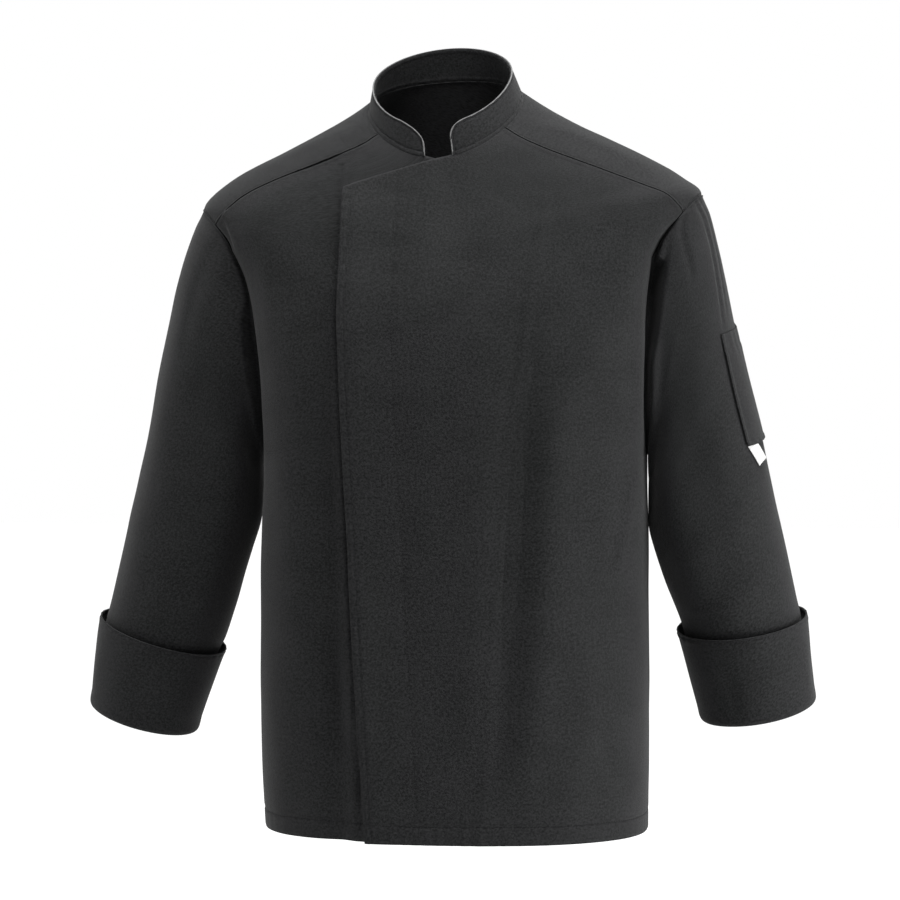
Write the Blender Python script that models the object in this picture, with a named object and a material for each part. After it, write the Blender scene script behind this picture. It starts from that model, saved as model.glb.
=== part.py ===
"""Chef jacket, filled out as worn, with no wearer.

Frame: metres, +Z up. The front faces -Y and +X is the wearer's left. The origin is in the
middle of the neck, level with the points where the shoulders meet it.

The body of the garment is one smooth form, drawn as rings from the hem up to the neckline.
A place on it is (turn, rise). Turn goes round it in half turns: 0 is centre front, 0.5 the
wearer's left side, 1 centre back and -0.5 the right side. Rise goes up the cloth. The panels
are cut from that form, so neighbours share the points of their seam, and each panel then gets
its thickness and is trimmed by half of the seam's gap.
"""

import math
from bisect import bisect_right
from collections import defaultdict
from collections import namedtuple

import bmesh
import bpy
from mathutils import Vector

for old in list(bpy.data.objects):
    bpy.data.objects.remove(old, do_unlink=True)

# Cloth thickness of each kind of piece, and the gap that is left at a seam.
SHELL = 0.0016
COLLAR_WALL = 0.0024
CUFF_WALL = 0.0018
POCKET_WALL = 0.0012
TAB_WALL = 0.0012
SEAM_GAP = 0.0003

# Limits on a seam's mitre: the least lean that it follows, and the lean of one smooth surface.
SHARPEST_MITRE = 0.38
SAME_SURFACE = 0.97

# How far the left front's lap stands out from the right front under it.
LAP_STEP = 0.0026

# Where the body's panels are cut, as rise up the cloth and as turns round it.
UNDERARM_RISE = 0.375
NECK_RISE = 0.80
BACK_SEAM_RISE = 0.655
NECK_GAP_TURN = 0.06
YOKE_NECK_TURN = 0.303

# The lap's front edge: its distance from the middle at the hem and near its top corner.
LAP_EDGE_HEM = 0.072
LAP_EDGE_TOP = 0.0985
LAP_CORNER_Z = -0.0862
LAP_CORNER_BEND = 0.85
LAP_STRAIGHT_RISE = 0.51

# How far apart the points are that a normal is taken from, on the body and on a sleeve, how
# often a search halves its range, and the length in metres that still counts as the same point.
BODY_STEP = 0.002
ROUND_STEP = 0.1
DOWN_STEP = 0.05
HALVINGS = 30
SAME_POINT = 0.00005

# Where a panel's inner grid lines lean in towards the armhole, and how close to it they bend.
SIDE_EASE_RISE = 0.28
SIDE_EASE_SPAN = 0.20
EDGE_SHARPNESS = 5

# An armhole's seam: step 0 is at the underarm, then it goes up the front and down the back.
SeamPoint = namedtuple("SeamPoint", "step turn rise")
ARMHOLE = [
    SeamPoint(0, 0.500, 0.375),
    SeamPoint(2, 0.466, 0.384),
    SeamPoint(4, 0.428, 0.416),
    SeamPoint(6, 0.406, 0.466),
    SeamPoint(8, 0.399, 0.526),
    SeamPoint(10, 0.415, 0.586),
    SeamPoint(12, 0.455, 0.615),
    SeamPoint(14, 0.500, 0.620),
    SeamPoint(16, 0.562, 0.608),
    SeamPoint(18, 0.594, 0.574),
    SeamPoint(20, 0.607, 0.525),
    SeamPoint(22, 0.603, 0.470),
    SeamPoint(24, 0.586, 0.418),
    SeamPoint(26, 0.550, 0.386),
    SeamPoint(28, 0.500, 0.375),
]

# The yoke's front seam, by its share of the way from the neck to the armhole.
YOKE_SEAM = [
    SeamPoint(0.0, YOKE_NECK_TURN, NECK_RISE),
    SeamPoint(0.1, 0.306, 0.777),
    SeamPoint(0.2, 0.321, 0.753),
    SeamPoint(0.4, 0.349, 0.715),
    SeamPoint(0.6, 0.375, 0.677),
    SeamPoint(0.8, 0.398, 0.643),
    SeamPoint(0.9, 0.411, 0.622),
    SeamPoint(1.0, 0.435, 0.604),
]

# Grid lines. An armhole has ARM_STEPS seam points, and front and back meet the yoke at one.
ARM_STEPS = 28
FRONT_SEAM_STEP = 11
BACK_SEAM_STEP = 18
SIDE_ROWS = 10
LAP_COLUMNS = 5
NECK_COLUMNS = 4
SHOULDER_COLUMNS = 6
YOKE_BOW_STEPS = 7
BACK_COLUMNS = 16
COLLAR_ROWS = 3
SLEEVE_ROWS = 16

Ring = namedtuple(
    "Ring",
    "rise z_front z_side z_back left right front back mid_x mid_y tilt tuck fold power",
)
BODY = [
    Ring(0.000, -0.7170, -0.7165, -0.719, 0.191, 0.190, 0.137, 0.122, 0.003, 0.000, -0.0010, 0.0, 0.0, 2.5),
    Ring(0.120, -0.600, -0.600, -0.600, 0.192, 0.194, 0.140, 0.119, 0.003, 0.0, 0.0, 0.0, 0.0, 2.7),
    Ring(0.230, -0.492, -0.490, -0.490, 0.192, 0.194, 0.143, 0.115, 0.003, 0.0, 0.0, 0.001, 0.0, 2.8),
    Ring(0.310, -0.414, -0.410, -0.414, 0.192, 0.191, 0.145, 0.114, 0.003, 0.0, 0.0, 0.003, 0.002, 2.9),
    Ring(0.375, -0.350, -0.345, -0.350, 0.190, 0.189, 0.147, 0.115, 0.003, 0.0, 0.0, 0.002, 0.005, 2.9),
    Ring(0.455, -0.272, -0.245, -0.275, 0.192, 0.193, 0.147, 0.118, 0.003, 0.0, 0.0, 0.0, 0.008, 2.9),
    Ring(0.535, -0.205, -0.170, -0.202, 0.203, 0.208, 0.138, 0.113, 0.002, 0.0, 0.001, 0.0, 0.009, 2.6),
    Ring(0.620, -0.150, -0.096, -0.132, 0.2445, 0.251, 0.120, 0.100, 0.001, 0.0, 0.006, 0.0, 0.005, 2.2),
    Ring(0.650, -0.132, -0.074, -0.104, 0.229, 0.226, 0.1125, 0.094, 0.0, -0.001, 0.001, 0.0, 0.002, 2.15),
    Ring(0.710, -0.1005, -0.043, -0.058, 0.176, 0.165, 0.097, 0.083, -0.002, -0.004, 0.0005, 0.0, 0.0, 2.1),
    Ring(0.800, -0.054, 0.002, 0.030, 0.0755, 0.0755, 0.072, 0.066, -0.007, -0.012, 0.003, 0.0, 0.0, 2.1),
]
RIM = Ring(0, -0.024, 0.0265, 0.0625, 0.0685, 0.0680, 0.069, 0.062, -0.0105, -0.012, 0.0045, 0.0, 0.0, 2.0)

# Each end of the collar is rounded off over a turn, down to a share of the collar's height.
COLLAR_ENDS = {1: (0.07, 0.55), -1: (0.13, 0.34)}

# The arm presses the side in (tuck), and the cloth stands in a fold before and behind it.
TUCK_SPREAD = 0.35
FOLD_PLACE = 0.43
FOLD_SPREAD = 0.16

ArmRing = namedtuple("ArmRing", "place outer_x outer_z inner_x inner_z mid_y deep pitch")
LEFT_ARM = [
    ArmRing(0.0, 0.247, -0.090, 0.191, -0.345, 0.002, 0.066, 0.0),
    ArmRing(0.35, 0.250, -0.097, 0.197, -0.346, 0.003, 0.066, 0.0),
    ArmRing(1.0, 0.255, -0.110, 0.1995, -0.351, 0.005, 0.066, 0.0),
    ArmRing(2.0, 0.262, -0.140, 0.1995, -0.366, 0.007, 0.066, 0.5),
    ArmRing(3.0, 0.270, -0.176, 0.198, -0.386, 0.008, 0.067, 1.0),
    ArmRing(4.0, 0.279, -0.218, 0.1965, -0.403, 0.008, 0.067, 2.0),
    ArmRing(5.0, 0.290, -0.265, 0.1975, -0.420, 0.009, 0.067, 3.0),
    ArmRing(6.0, 0.304, -0.320, 0.203, -0.443, 0.010, 0.0675, 4.0),
    ArmRing(7.0, 0.317, -0.380, 0.211, -0.468, 0.012, 0.0675, 6.0),
    ArmRing(8.0, 0.330, -0.438, 0.220, -0.492, 0.015, 0.0663, 8.0),
    ArmRing(9.0, 0.3405, -0.486, 0.2265, -0.509, 0.018, 0.0637, 9.0),
    ArmRing(10.0, 0.3455, -0.508, 0.230, -0.522, 0.020, 0.0608, 10.0),
    ArmRing(11.0, 0.3495, -0.545, 0.240, -0.562, 0.023, 0.0567, 10.0),
    ArmRing(12.0, 0.3535, -0.577, 0.2485, -0.595, 0.025, 0.053, 10.0),
]
RIGHT_ARM = [
    ArmRing(0.0, 0.250, -0.102, 0.186, -0.345, 0.002, 0.066, 0.0),
    ArmRing(0.35, 0.2535, -0.108, 0.192, -0.346, 0.003, 0.066, 0.0),
    ArmRing(1.0, 0.2605, -0.120, 0.1975, -0.351, 0.005, 0.066, 0.0),
    ArmRing(2.0, 0.271, -0.146, 0.199, -0.366, 0.007, 0.066, 0.5),
    ArmRing(3.0, 0.281, -0.180, 0.1985, -0.386, 0.008, 0.067, 1.0),
    ArmRing(4.0, 0.290, -0.220, 0.199, -0.403, 0.008, 0.067, 2.0),
    ArmRing(5.0, 0.2995, -0.265, 0.2015, -0.420, 0.009, 0.067, 3.0),
    ArmRing(6.0, 0.310, -0.320, 0.2075, -0.443, 0.010, 0.066, 4.0),
    ArmRing(7.0, 0.323, -0.380, 0.216, -0.472, 0.012, 0.065, 5.0),
    ArmRing(8.0, 0.337, -0.438, 0.226, -0.505, 0.014, 0.063, 6.0),
    ArmRing(9.0, 0.349, -0.488, 0.2355, -0.533, 0.016, 0.061, 7.0),
    ArmRing(10.0, 0.3565, -0.517, 0.2435, -0.549, 0.018, 0.059, 7.0),
    ArmRing(11.0, 0.3620, -0.553, 0.2565, -0.585, 0.020, 0.056, 7.0),
    ArmRing(12.0, 0.3660, -0.585, 0.2665, -0.614, 0.022, 0.053, 7.0),
]
ARM = {1: LEFT_ARM, -1: RIGHT_ARM}
SLEEVE_END = 12.0
SLEEVE_STAND = 0.35
SEAM_FADE = 2.5

# The turned-back cuff, from the end of the sleeve down round the fold and up to its rim.
CuffRow = namedtuple("CuffRow", "down out")
CUFF = [
    CuffRow(0.0, 0.0),
    CuffRow(0.008, 0.0001),
    CuffRow(0.012, 0.0006),
    CuffRow(0.0145, 0.0027),
    CuffRow(0.012, 0.0048),
    CuffRow(0.004, 0.0054),
    CuffRow(-0.022, 0.0058),
    CuffRow(-0.047, 0.0062),
    CuffRow(-0.070, 0.0066),
]

# The pen pocket, as seam steps round the left sleeve and places down it, and its lift off it.
POCKET_FRONT_STEP = 10.7
POCKET_BACK_STEP = 15.2
POCKET_COLUMNS = 5
POCKET_TOP = 3.6
POCKET_BOTTOM = 5.95
POCKET_SLANT = 0.148
POCKET_BEND = 0.026
POCKET_ROWS = 4
POCKET_LIFT = 0.0008
TAB_WIDTH = 0.0155
TAB_LENGTH = 0.0245
TAB_DROP = 0.0006
TAB_INSET = 0.0012
TAB_SLANT = 0.55
TAB_CUT = 0.26
TAB_CELLS = 2


def between(rows, place):
    """The row of a table at a place in its first column, read on a smooth curve."""
    keys = [row[0] for row in rows]
    last = len(rows) - 2
    i = min(max(bisect_right(keys, place) - 1, 0), last)
    span = keys[i + 1] - keys[i]
    part = (place - keys[i]) / span

    def slope(k, column):
        low = max(k - 1, 0)
        high = min(k + 1, last + 1)
        return (rows[high][column] - rows[low][column]) / (keys[high] - keys[low])

    values = []
    for column in range(len(rows[0])):
        start = rows[i][column]
        end = rows[i + 1][column]
        enter = slope(i, column) * span
        leave = slope(i + 1, column) * span
        smooth = part * part * (3 - 2 * part)
        values.append(
            start
            + (end - start) * smooth
            + enter * part * (1 - part) ** 2
            - leave * part * part * (1 - part)
        )
    return type(rows[0])(*values)


def on_ring(ring, turn):
    """A point of a ring. Its outline is a squared oval that may differ on its four sides."""
    angle = math.pi * turn
    across = math.sin(angle)
    ahead = math.cos(angle)
    half = ring.left if across >= 0 else ring.right
    deep = ring.front if ahead >= 0 else ring.back
    power = ring.power
    reach = (abs(across / half) ** power + abs(ahead / deep) ** power) ** (-1 / power)
    reach -= ring.tuck * math.exp(-((ahead / TUCK_SPREAD) ** 2))
    reach += ring.fold * math.exp(-(((abs(ahead) - FOLD_PLACE) / FOLD_SPREAD) ** 2))
    level = (ring.z_front + ring.z_back) / 2
    height = (level + ring.z_side) / 2
    height += (ring.z_front - ring.z_back) / 2 * ahead
    height += (level - ring.z_side) / 2 * math.cos(2 * angle)
    height += ring.tilt * across
    return Vector((ring.mid_x + reach * across, ring.mid_y - reach * ahead, height))


def on_body(turn, rise):
    return on_ring(between(BODY, rise), turn)


def off_body(turn, rise, out):
    """A point of the body form, moved out along the form's normal."""
    point = on_body(turn, rise)
    if not out:
        return point
    along = on_body(turn + BODY_STEP, rise) - on_body(turn - BODY_STEP, rise)
    up = on_body(turn, min(rise + BODY_STEP, NECK_RISE)) - on_body(turn, rise - BODY_STEP)
    return point + along.cross(up).normalized() * out


def turn_at(x, rise):
    """The turn, in front, at which the body form has this x."""
    low = -0.45
    high = 0.45
    for _ in range(HALVINGS):
        middle = (low + high) / 2
        if on_body(middle, rise).x < x:
            low = middle
        else:
            high = middle
    return (low + high) / 2


def armhole(side, step):
    """Turn and rise of an armhole's seam point. Side is 1 on the left and -1 on the right."""
    point = between(ARMHOLE, step)
    return side * point.turn, point.rise


def ease(value):
    """0 to 1, with soft ends."""
    value = min(max(value, 0.0), 1.0)
    return value * value * (3 - 2 * value)


def lap_out(side, turn):
    """How far a front lies off the body form: the left one over it, the right one under."""
    over = ease((NECK_GAP_TURN - turn) / (2 * NECK_GAP_TURN))
    return LAP_STEP * over if side > 0 else -LAP_STEP * (1 - over)


def yoke_seam(part):
    """Turn and rise on the yoke's front seam, which ends at a point of the armhole."""
    point = between(YOKE_SEAM, part)
    end = between(ARMHOLE, FRONT_SEAM_STEP)
    turn = point.turn + (end.turn - YOKE_SEAM[-1].turn) * part
    rise = point.rise + (end.rise - YOKE_SEAM[-1].rise) * part
    return turn, rise


def rise_at(x, z):
    """The rise, in front, at which the body form has this x and z."""
    low = UNDERARM_RISE
    high = NECK_RISE
    for _ in range(HALVINGS):
        middle = (low + high) / 2
        if on_body(turn_at(x, middle), middle).z < z:
            low = middle
        else:
            high = middle
    return (low + high) / 2


def lap_tops(side):
    """(turn, rise) along the slanting top edge of a front's lap, from its corner to the neck."""
    neck = on_body(side * NECK_GAP_TURN, NECK_RISE)
    tops = []
    for k in range(LAP_COLUMNS):
        part = k / LAP_COLUMNS
        x = -side * LAP_EDGE_TOP * (1 - part) + neck.x * part
        z = LAP_CORNER_Z + (neck.z - LAP_CORNER_Z) * part**LAP_CORNER_BEND
        rise = rise_at(x, z)
        tops.append((side * turn_at(x, rise), rise))
    return tops


def front_tops(side):
    """(turn, rise) along a front's top edge, from the lap's corner to the armhole."""
    tops = lap_tops(side)
    for k in range(NECK_COLUMNS):
        part = k / NECK_COLUMNS
        tops.append((NECK_GAP_TURN + (YOKE_NECK_TURN - NECK_GAP_TURN) * part, NECK_RISE))
    tops += [yoke_seam(k / SHOULDER_COLUMNS) for k in range(SHOULDER_COLUMNS + 1)]
    return tops


def side_edge(row, seam_step, side=1):
    """Turn and rise of a panel's outer edge: the side seam, then the armhole."""
    if row <= SIDE_ROWS:
        return side * 0.5, UNDERARM_RISE * row / SIDE_ROWS
    step = row - SIDE_ROWS
    return armhole(side, step if seam_step < ARM_STEPS / 2 else ARM_STEPS - step)


def row_rise(row, last_row, outer, top, column):
    """Rise of a panel's point. Rows are even inside and keep to the armhole at the edge.

    Outer and top are the rises of the edge in this row and at the end of its seam. Column is
    (part, rise): the share of the way out to the edge, and where the column ends.
    """
    part, rise = column
    even = outer
    if row > SIDE_ROWS:
        even = UNDERARM_RISE + (top - UNDERARM_RISE) * (row - SIDE_ROWS) / (last_row - SIDE_ROWS)
    even += (outer - even) * part**3
    return even + (rise - top) * (row / last_row) ** 4


def front_panel(side):
    """Rows of points of one front, each from its lap edge out to its side."""
    tops = front_tops(side)
    first = tops[0][0]
    last, top_rise = tops[-1]
    last_row = SIDE_ROWS + FRONT_SEAM_STEP
    rows = []
    for j in range(last_row + 1):
        outer_turn, outer_rise = side_edge(j, FRONT_SEAM_STEP)
        lap_rise = row_rise(j, last_row, outer_rise, top_rise, (0, tops[0][1]))
        upward = min(lap_rise / LAP_STRAIGHT_RISE, 1.0)
        edge_x = LAP_EDGE_HEM + (LAP_EDGE_TOP - LAP_EDGE_HEM) * upward
        inner_turn = turn_at(-side * edge_x, lap_rise) * side
        main_turn = 0.5 + (last - 0.5) * ease((outer_rise - SIDE_EASE_RISE) / SIDE_EASE_SPAN)
        row = []
        for turn, rise in tops:
            part = (turn - first) / (last - first)
            place = inner_turn + (main_turn - inner_turn) * part
            place = side * (place + (outer_turn - main_turn) * part**EDGE_SHARPNESS)
            height = row_rise(j, last_row, outer_rise, top_rise, (part, rise))
            row.append(off_body(place, height, lap_out(side, place)))
        rows.append(row if side > 0 else row[::-1])
    return rows


def back_tops():
    """(turn, rise) along the back yoke seam, from the left armhole to the right one."""
    seam_turn, seam_rise = armhole(1, BACK_SEAM_STEP)
    tops = []
    for k in range(BACK_COLUMNS + 1):
        part = k / BACK_COLUMNS
        level = 1 - abs(2 * part - 1) ** 2
        rise = seam_rise + (BACK_SEAM_RISE - seam_rise) * level
        tops.append((seam_turn + (2 - 2 * seam_turn) * part, rise))
    return tops


def back_panel():
    """Rows of points of the back, each from the left side to the right."""
    tops = back_tops()
    last, top_rise = tops[0]
    last_row = SIDE_ROWS + ARM_STEPS - BACK_SEAM_STEP
    rows = []
    for j in range(last_row + 1):
        outer_turn, outer_rise = side_edge(j, BACK_SEAM_STEP)
        main_turn = 0.5 + (last - 0.5) * ease((outer_rise - SIDE_EASE_RISE) / SIDE_EASE_SPAN)
        row = []
        for k, (_, rise) in enumerate(tops):
            part = 1 - 2 * k / BACK_COLUMNS
            turn = 1 - (1 - main_turn) * part
            turn += (outer_turn - main_turn) * math.copysign(abs(part) ** EDGE_SHARPNESS, part)
            height = row_rise(j, last_row, outer_rise, top_rise, (abs(part), rise))
            row.append(on_body(turn, height))
        rows.append(row)
    return rows


def yoke_edges():
    """Pairs of (turn, rise), at the neck and at the outer edge, round the yoke from left to right."""
    outer = [armhole(1, step) for step in range(FRONT_SEAM_STEP, BACK_SEAM_STEP)]
    outer += back_tops()
    outer += [(2 - turn, rise) for turn, rise in outer[BACK_SEAM_STEP - FRONT_SEAM_STEP - 1 :: -1]]
    count = len(outer) - 1
    pairs = []
    for k, edge in enumerate(outer):
        neck = YOKE_NECK_TURN + (2 - 2 * YOKE_NECK_TURN) * k / count
        pairs.append(((neck, NECK_RISE), edge))
    return pairs


def yoke_panel():
    """Rows of points of the yoke, each round the neck, from the outer edge in."""
    pairs = yoke_edges()
    front_edge = pairs[0][1]
    rows = []
    for j in range(SHOULDER_COLUMNS + 1):
        part = j / SHOULDER_COLUMNS
        seam_turn, seam_rise = yoke_seam(1 - part)
        bow_turn = seam_turn - front_edge[0] - (YOKE_NECK_TURN - front_edge[0]) * part
        bow_rise = seam_rise - front_edge[1] - (NECK_RISE - front_edge[1]) * part
        row = []
        for k, (neck, edge) in enumerate(pairs):
            from_seam = min(k, len(pairs) - 1 - k) / YOKE_BOW_STEPS
            share = max(1 - from_seam, 0.0) ** 2
            side = 1 if k < len(pairs) / 2 else -1
            turn = edge[0] + (neck[0] - edge[0]) * part + side * bow_turn * share
            rise = edge[1] + (neck[1] - edge[1]) * part + bow_rise * share
            row.append(on_body(turn, rise))
        rows.append(row)
    return rows


def collar_panel():
    """Rows of points of the collar, each round the neck from its left end to its right."""
    front = [turn for turn, _ in front_tops(1)[LAP_COLUMNS : LAP_COLUMNS + NECK_COLUMNS]]
    round_neck = [neck[0] for neck, _ in yoke_edges()]
    turns = front + round_neck + [2 - turn for turn in front[::-1]]
    ring = between(BODY, NECK_RISE)
    rows = []
    for j in range(COLLAR_ROWS + 1):
        row = []
        for turn in turns:
            reach, least = COLLAR_ENDS[1 if turn < 1 else -1]
            from_end = min(turn, 2 - turn) - NECK_GAP_TURN
            round_off = 1 - min(from_end / reach, 1.0)
            height = least + (1 - least) * math.sqrt(1 - round_off**2)
            base = on_ring(ring, turn)
            row.append(base + (on_ring(RIM, turn) - base) * height * j / COLLAR_ROWS)
        rows.append(row)
    return rows


def on_arm(side, step, place):
    """A point of a sleeve. Step is the armhole's seam point that it runs down from."""
    ring = between(ARM[side], place)
    outer = Vector((side * ring.outer_x, ring.mid_y, ring.outer_z))
    inner = Vector((side * ring.inner_x, ring.mid_y, ring.inner_z))
    pitch = math.radians(ring.pitch)
    ahead = Vector((0.0, -math.cos(pitch), -math.sin(pitch))) * ring.deep
    angle = math.pi - 2 * math.pi * step / ARM_STEPS
    point = (outer + inner) / 2 + (outer - inner) / 2 * math.cos(angle) + ahead * math.sin(angle)
    if place < SEAM_FADE:
        first = ARM[side][0]
        top = Vector((side * first.outer_x, first.mid_y, first.outer_z))
        low = Vector((side * first.inner_x, first.mid_y, first.inner_z))
        oval = (top + low) / 2 + (top - low) / 2 * math.cos(angle)
        oval.y -= first.deep * math.sin(angle)
        point += (on_body(*armhole(side, step)) - oval) * (1 - place / SEAM_FADE) ** 2
    return point


def off_arm(side, step, place, out):
    """A point of a sleeve, moved out along its normal."""
    point = on_arm(side, step, place)
    round_way = on_arm(side, step + ROUND_STEP, place) - on_arm(side, step - ROUND_STEP, place)
    down_way = point - on_arm(side, step, place - DOWN_STEP)
    return point + down_way.cross(round_way).normalized() * side * out


def arm_steps(side):
    """Seam steps round a sleeve, in the order that turns its faces outward."""
    steps = list(range(ARM_STEPS + 1))
    return steps[::-1] if side > 0 else steps


def sleeve_panel(side):
    """Rows of points of a sleeve: a short one at the seam, then even ones to its end."""
    rows = []
    for j in range(SLEEVE_ROWS + 1):
        evenly = SLEEVE_STAND + (SLEEVE_END - SLEEVE_STAND) * (j - 1) / (SLEEVE_ROWS - 1)
        place = max(evenly, 0.0) if j else 0.0
        rows.append([on_arm(side, step, place) for step in arm_steps(side)])
    return rows


def down_arm(side):
    """The way down the arm at the end of the sleeve."""
    high = ARM[side][-2]
    low = ARM[side][-1]
    across = side * (low.outer_x + low.inner_x - high.outer_x - high.inner_x) / 2
    drop = (low.outer_z + low.inner_z - high.outer_z - high.inner_z) / 2
    return Vector((across, low.mid_y - high.mid_y, drop))


def cuff_panel(side):
    """Rows of points of a cuff, from the sleeve's end round the fold to the rim."""
    way = down_arm(side)
    per_place = way.length
    rows = []
    for cuff_row in CUFF:
        below = max(cuff_row.down, 0.0)
        place = SLEEVE_END + min(cuff_row.down, 0.0) / per_place
        shift = way.normalized() * below
        row = [off_arm(side, step, place, cuff_row.out) + shift for step in arm_steps(side)]
        rows.append(row)
    return rows


def on_pocket(across, down, out):
    """A point over the left sleeve, by shares across the pocket and down it."""
    steps = (POCKET_BACK_STEP - POCKET_FRONT_STEP) * across
    slant = (POCKET_SLANT - POCKET_BEND * steps) * steps * (2 - down)
    place = POCKET_TOP + (POCKET_BOTTOM - POCKET_TOP) * down + slant
    return off_arm(1, POCKET_FRONT_STEP + steps, place, out)


def pocket_panel():
    """Rows of points of the pen pocket, moved out from the left sleeve."""
    out = (SHELL + POCKET_WALL) / 2 + POCKET_LIFT
    rows = []
    for j in range(POCKET_ROWS + 1):
        shares = [1 - i / POCKET_COLUMNS for i in range(POCKET_COLUMNS + 1)]
        rows.append([on_pocket(share, j / POCKET_ROWS, out) for share in shares])
    return rows


def tab_panel():
    """Rows of points of the small tab that hangs from the pocket's lower front corner.

    It slants outward, and its free end is cut aslant.
    """
    out = (SHELL + TAB_WALL) / 2 + POCKET_LIFT
    corner = on_pocket(0.0, 1.0, out)
    down = (on_pocket(0.0, 1.1, out) - corner).normalized()
    across = on_pocket(0.1, 1.0, out) - on_pocket(-0.1, 1.0, out)
    across = (across - down * down.dot(across)).normalized()
    hang = (down + across * TAB_SLANT).normalized()
    rows = []
    for j in range(TAB_CELLS + 1):
        row = []
        for i in range(TAB_CELLS + 1):
            aside = 1 - i / TAB_CELLS
            reach = TAB_DROP + TAB_LENGTH * (1 - TAB_CUT * aside) * j / TAB_CELLS
            row.append(corner + hang * reach + across * (TAB_INSET + TAB_WIDTH * aside))
        rows.append(row)
    return rows


def cloth_grid(rows, closed):
    """A bmesh grid that takes these rows of points as its middle surface."""
    columns = len(rows[0]) - 1
    high = len(rows) - 1
    grid = bmesh.new()
    bmesh.ops.create_grid(grid, x_segments=columns, y_segments=high, size=1.0)
    places = grid.verts.layers.int.new("place")
    for vert in grid.verts:
        i = round((vert.co.x + 1) / 2 * columns)
        j = round((vert.co.y + 1) / 2 * high)
        vert.co = rows[j][i]
        vert[places] = j * (columns + 1) + i
    if closed:
        bmesh.ops.remove_doubles(grid, verts=grid.verts, dist=SAME_POINT)
    grid.normal_update()
    return grid


def seam_key(point):
    """A seam point's own key, which is the same for each of the pieces that meet there."""
    return tuple(round(value / SAME_POINT) for value in point)


def seam_pushes(grids):
    """At each seam point, the mitred way out that the pieces meeting there share.

    Pieces that run on smoothly into each other count once.
    """
    normals = defaultdict(list)
    for grid in grids.values():
        for vert in grid.verts:
            if vert.is_boundary:
                found = normals[seam_key(vert.co)]
                if all(vert.normal.dot(other) < SAME_SURFACE for other in found):
                    found.append(vert.normal.copy())
    pushes = {}
    for key, found in normals.items():
        way = sum(found, Vector((0.0, 0.0, 0.0))).normalized()
        lean = sum(way.dot(normal) for normal in found) / len(found)
        pushes[key] = way / max(lean, SHARPEST_MITRE)
    return pushes


def trim(vert, way):
    """The step that takes a boundary point in from its two seam edges by half of the gap."""
    inward = Vector((0.0, 0.0, 0.0))
    for face in vert.link_faces:
        inward += face.calc_center_median() - vert.co
    ends = [edge.other_vert(vert).co - vert.co for edge in vert.link_edges if edge.is_boundary]
    before = way.cross(ends[0]).normalized()
    after = ends[1].cross(way).normalized()
    middle = (before + after).normalized()
    step = middle * SEAM_GAP / 2 / max(middle.dot(before), SHARPEST_MITRE)
    return step if middle.dot(inward) > 0 else -step


def give_wall(grid, wall, pushes):
    """Turns a middle surface into a closed wall, mitred where it meets another piece."""
    places = grid.verts.layers.int["place"]
    push = {}
    shift = {}
    for vert in grid.verts:
        way = vert.normal.copy()
        shift[vert[places]] = Vector((0.0, 0.0, 0.0))
        if vert.is_boundary:
            way = pushes[seam_key(vert.co)]
            shift[vert[places]] = trim(vert, way)
        push[vert[places]] = way * wall / 2
    made = bmesh.ops.extrude_face_region(grid, geom=grid.faces[:])
    outside = {item for item in made["geom"] if isinstance(item, bmesh.types.BMVert)}
    for vert in grid.verts:
        place = vert[places]
        vert.co += shift[place] + (push[place] if vert in outside else -push[place])
    bmesh.ops.recalc_face_normals(grid, faces=grid.faces)


def cloth_material(name, colour):
    """A matt finish of one colour."""
    material = bpy.data.materials.new(name)
    material.use_nodes = True
    shader = material.node_tree.nodes["Principled BSDF"]
    shader.inputs["Base Color"].default_value = (*colour, 1.0)
    shader.inputs["Roughness"].default_value = CLOTH_ROUGHNESS
    shader.inputs["Metallic"].default_value = 0.0
    return material


BLACK_TWILL = (0.030, 0.031, 0.033)
PALE_TAPE = (0.55, 0.55, 0.54)
CLOTH_ROUGHNESS = 0.85
FOLDED_EDGE = math.radians(50)

Piece = namedtuple("Piece", "rows closed wall colour")
PIECES = {
    "front_right": Piece(front_panel(-1), False, SHELL, BLACK_TWILL),
    "front_left": Piece(front_panel(1), False, SHELL, BLACK_TWILL),
    "back": Piece(back_panel(), False, SHELL, BLACK_TWILL),
    "yoke": Piece(yoke_panel(), False, SHELL, BLACK_TWILL),
    "collar": Piece(collar_panel(), False, COLLAR_WALL, BLACK_TWILL),
    "sleeve_left": Piece(sleeve_panel(1), True, SHELL, BLACK_TWILL),
    "sleeve_right": Piece(sleeve_panel(-1), True, SHELL, BLACK_TWILL),
    "cuff_left": Piece(cuff_panel(1), True, CUFF_WALL, BLACK_TWILL),
    "cuff_right": Piece(cuff_panel(-1), True, CUFF_WALL, BLACK_TWILL),
    "pen_pocket": Piece(pocket_panel(), False, POCKET_WALL, BLACK_TWILL),
    "label_tab": Piece(tab_panel(), False, TAB_WALL, PALE_TAPE),
}

grids = {name: cloth_grid(piece.rows, piece.closed) for name, piece in PIECES.items()}
pushes = seam_pushes(grids)
for name, grid in grids.items():
    piece = PIECES[name]
    give_wall(grid, piece.wall, pushes)
    mesh = bpy.data.meshes.new(name)
    grid.to_mesh(mesh)
    grid.free()
    mesh.shade_smooth()
    mesh.set_sharp_from_angle(angle=FOLDED_EDGE)
    mesh.materials.append(cloth_material(name, piece.colour))
    bpy.context.scene.collection.objects.link(bpy.data.objects.new(name, mesh))
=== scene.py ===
"""Looks of a chef jacket, filled out as worn with no wearer.

Metres, +Z up. The front faces -Y and +X is the wearer's left. The sections follow the order in
which a maker sews the jacket: back, yoke, fronts, collar, sleeves, cuffs, pocket and tab. Every
panel is a grid of cloth on the same form as its solid, with its creases, edges and sewing.
"""

import math
from bisect import bisect_right
from collections import namedtuple
from functools import lru_cache

import bmesh
import bpy
import numpy as np
from mathutils import Matrix, Vector, noise
from mathutils.bvhtree import BVHTree
from mathutils.kdtree import KDTree


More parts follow.
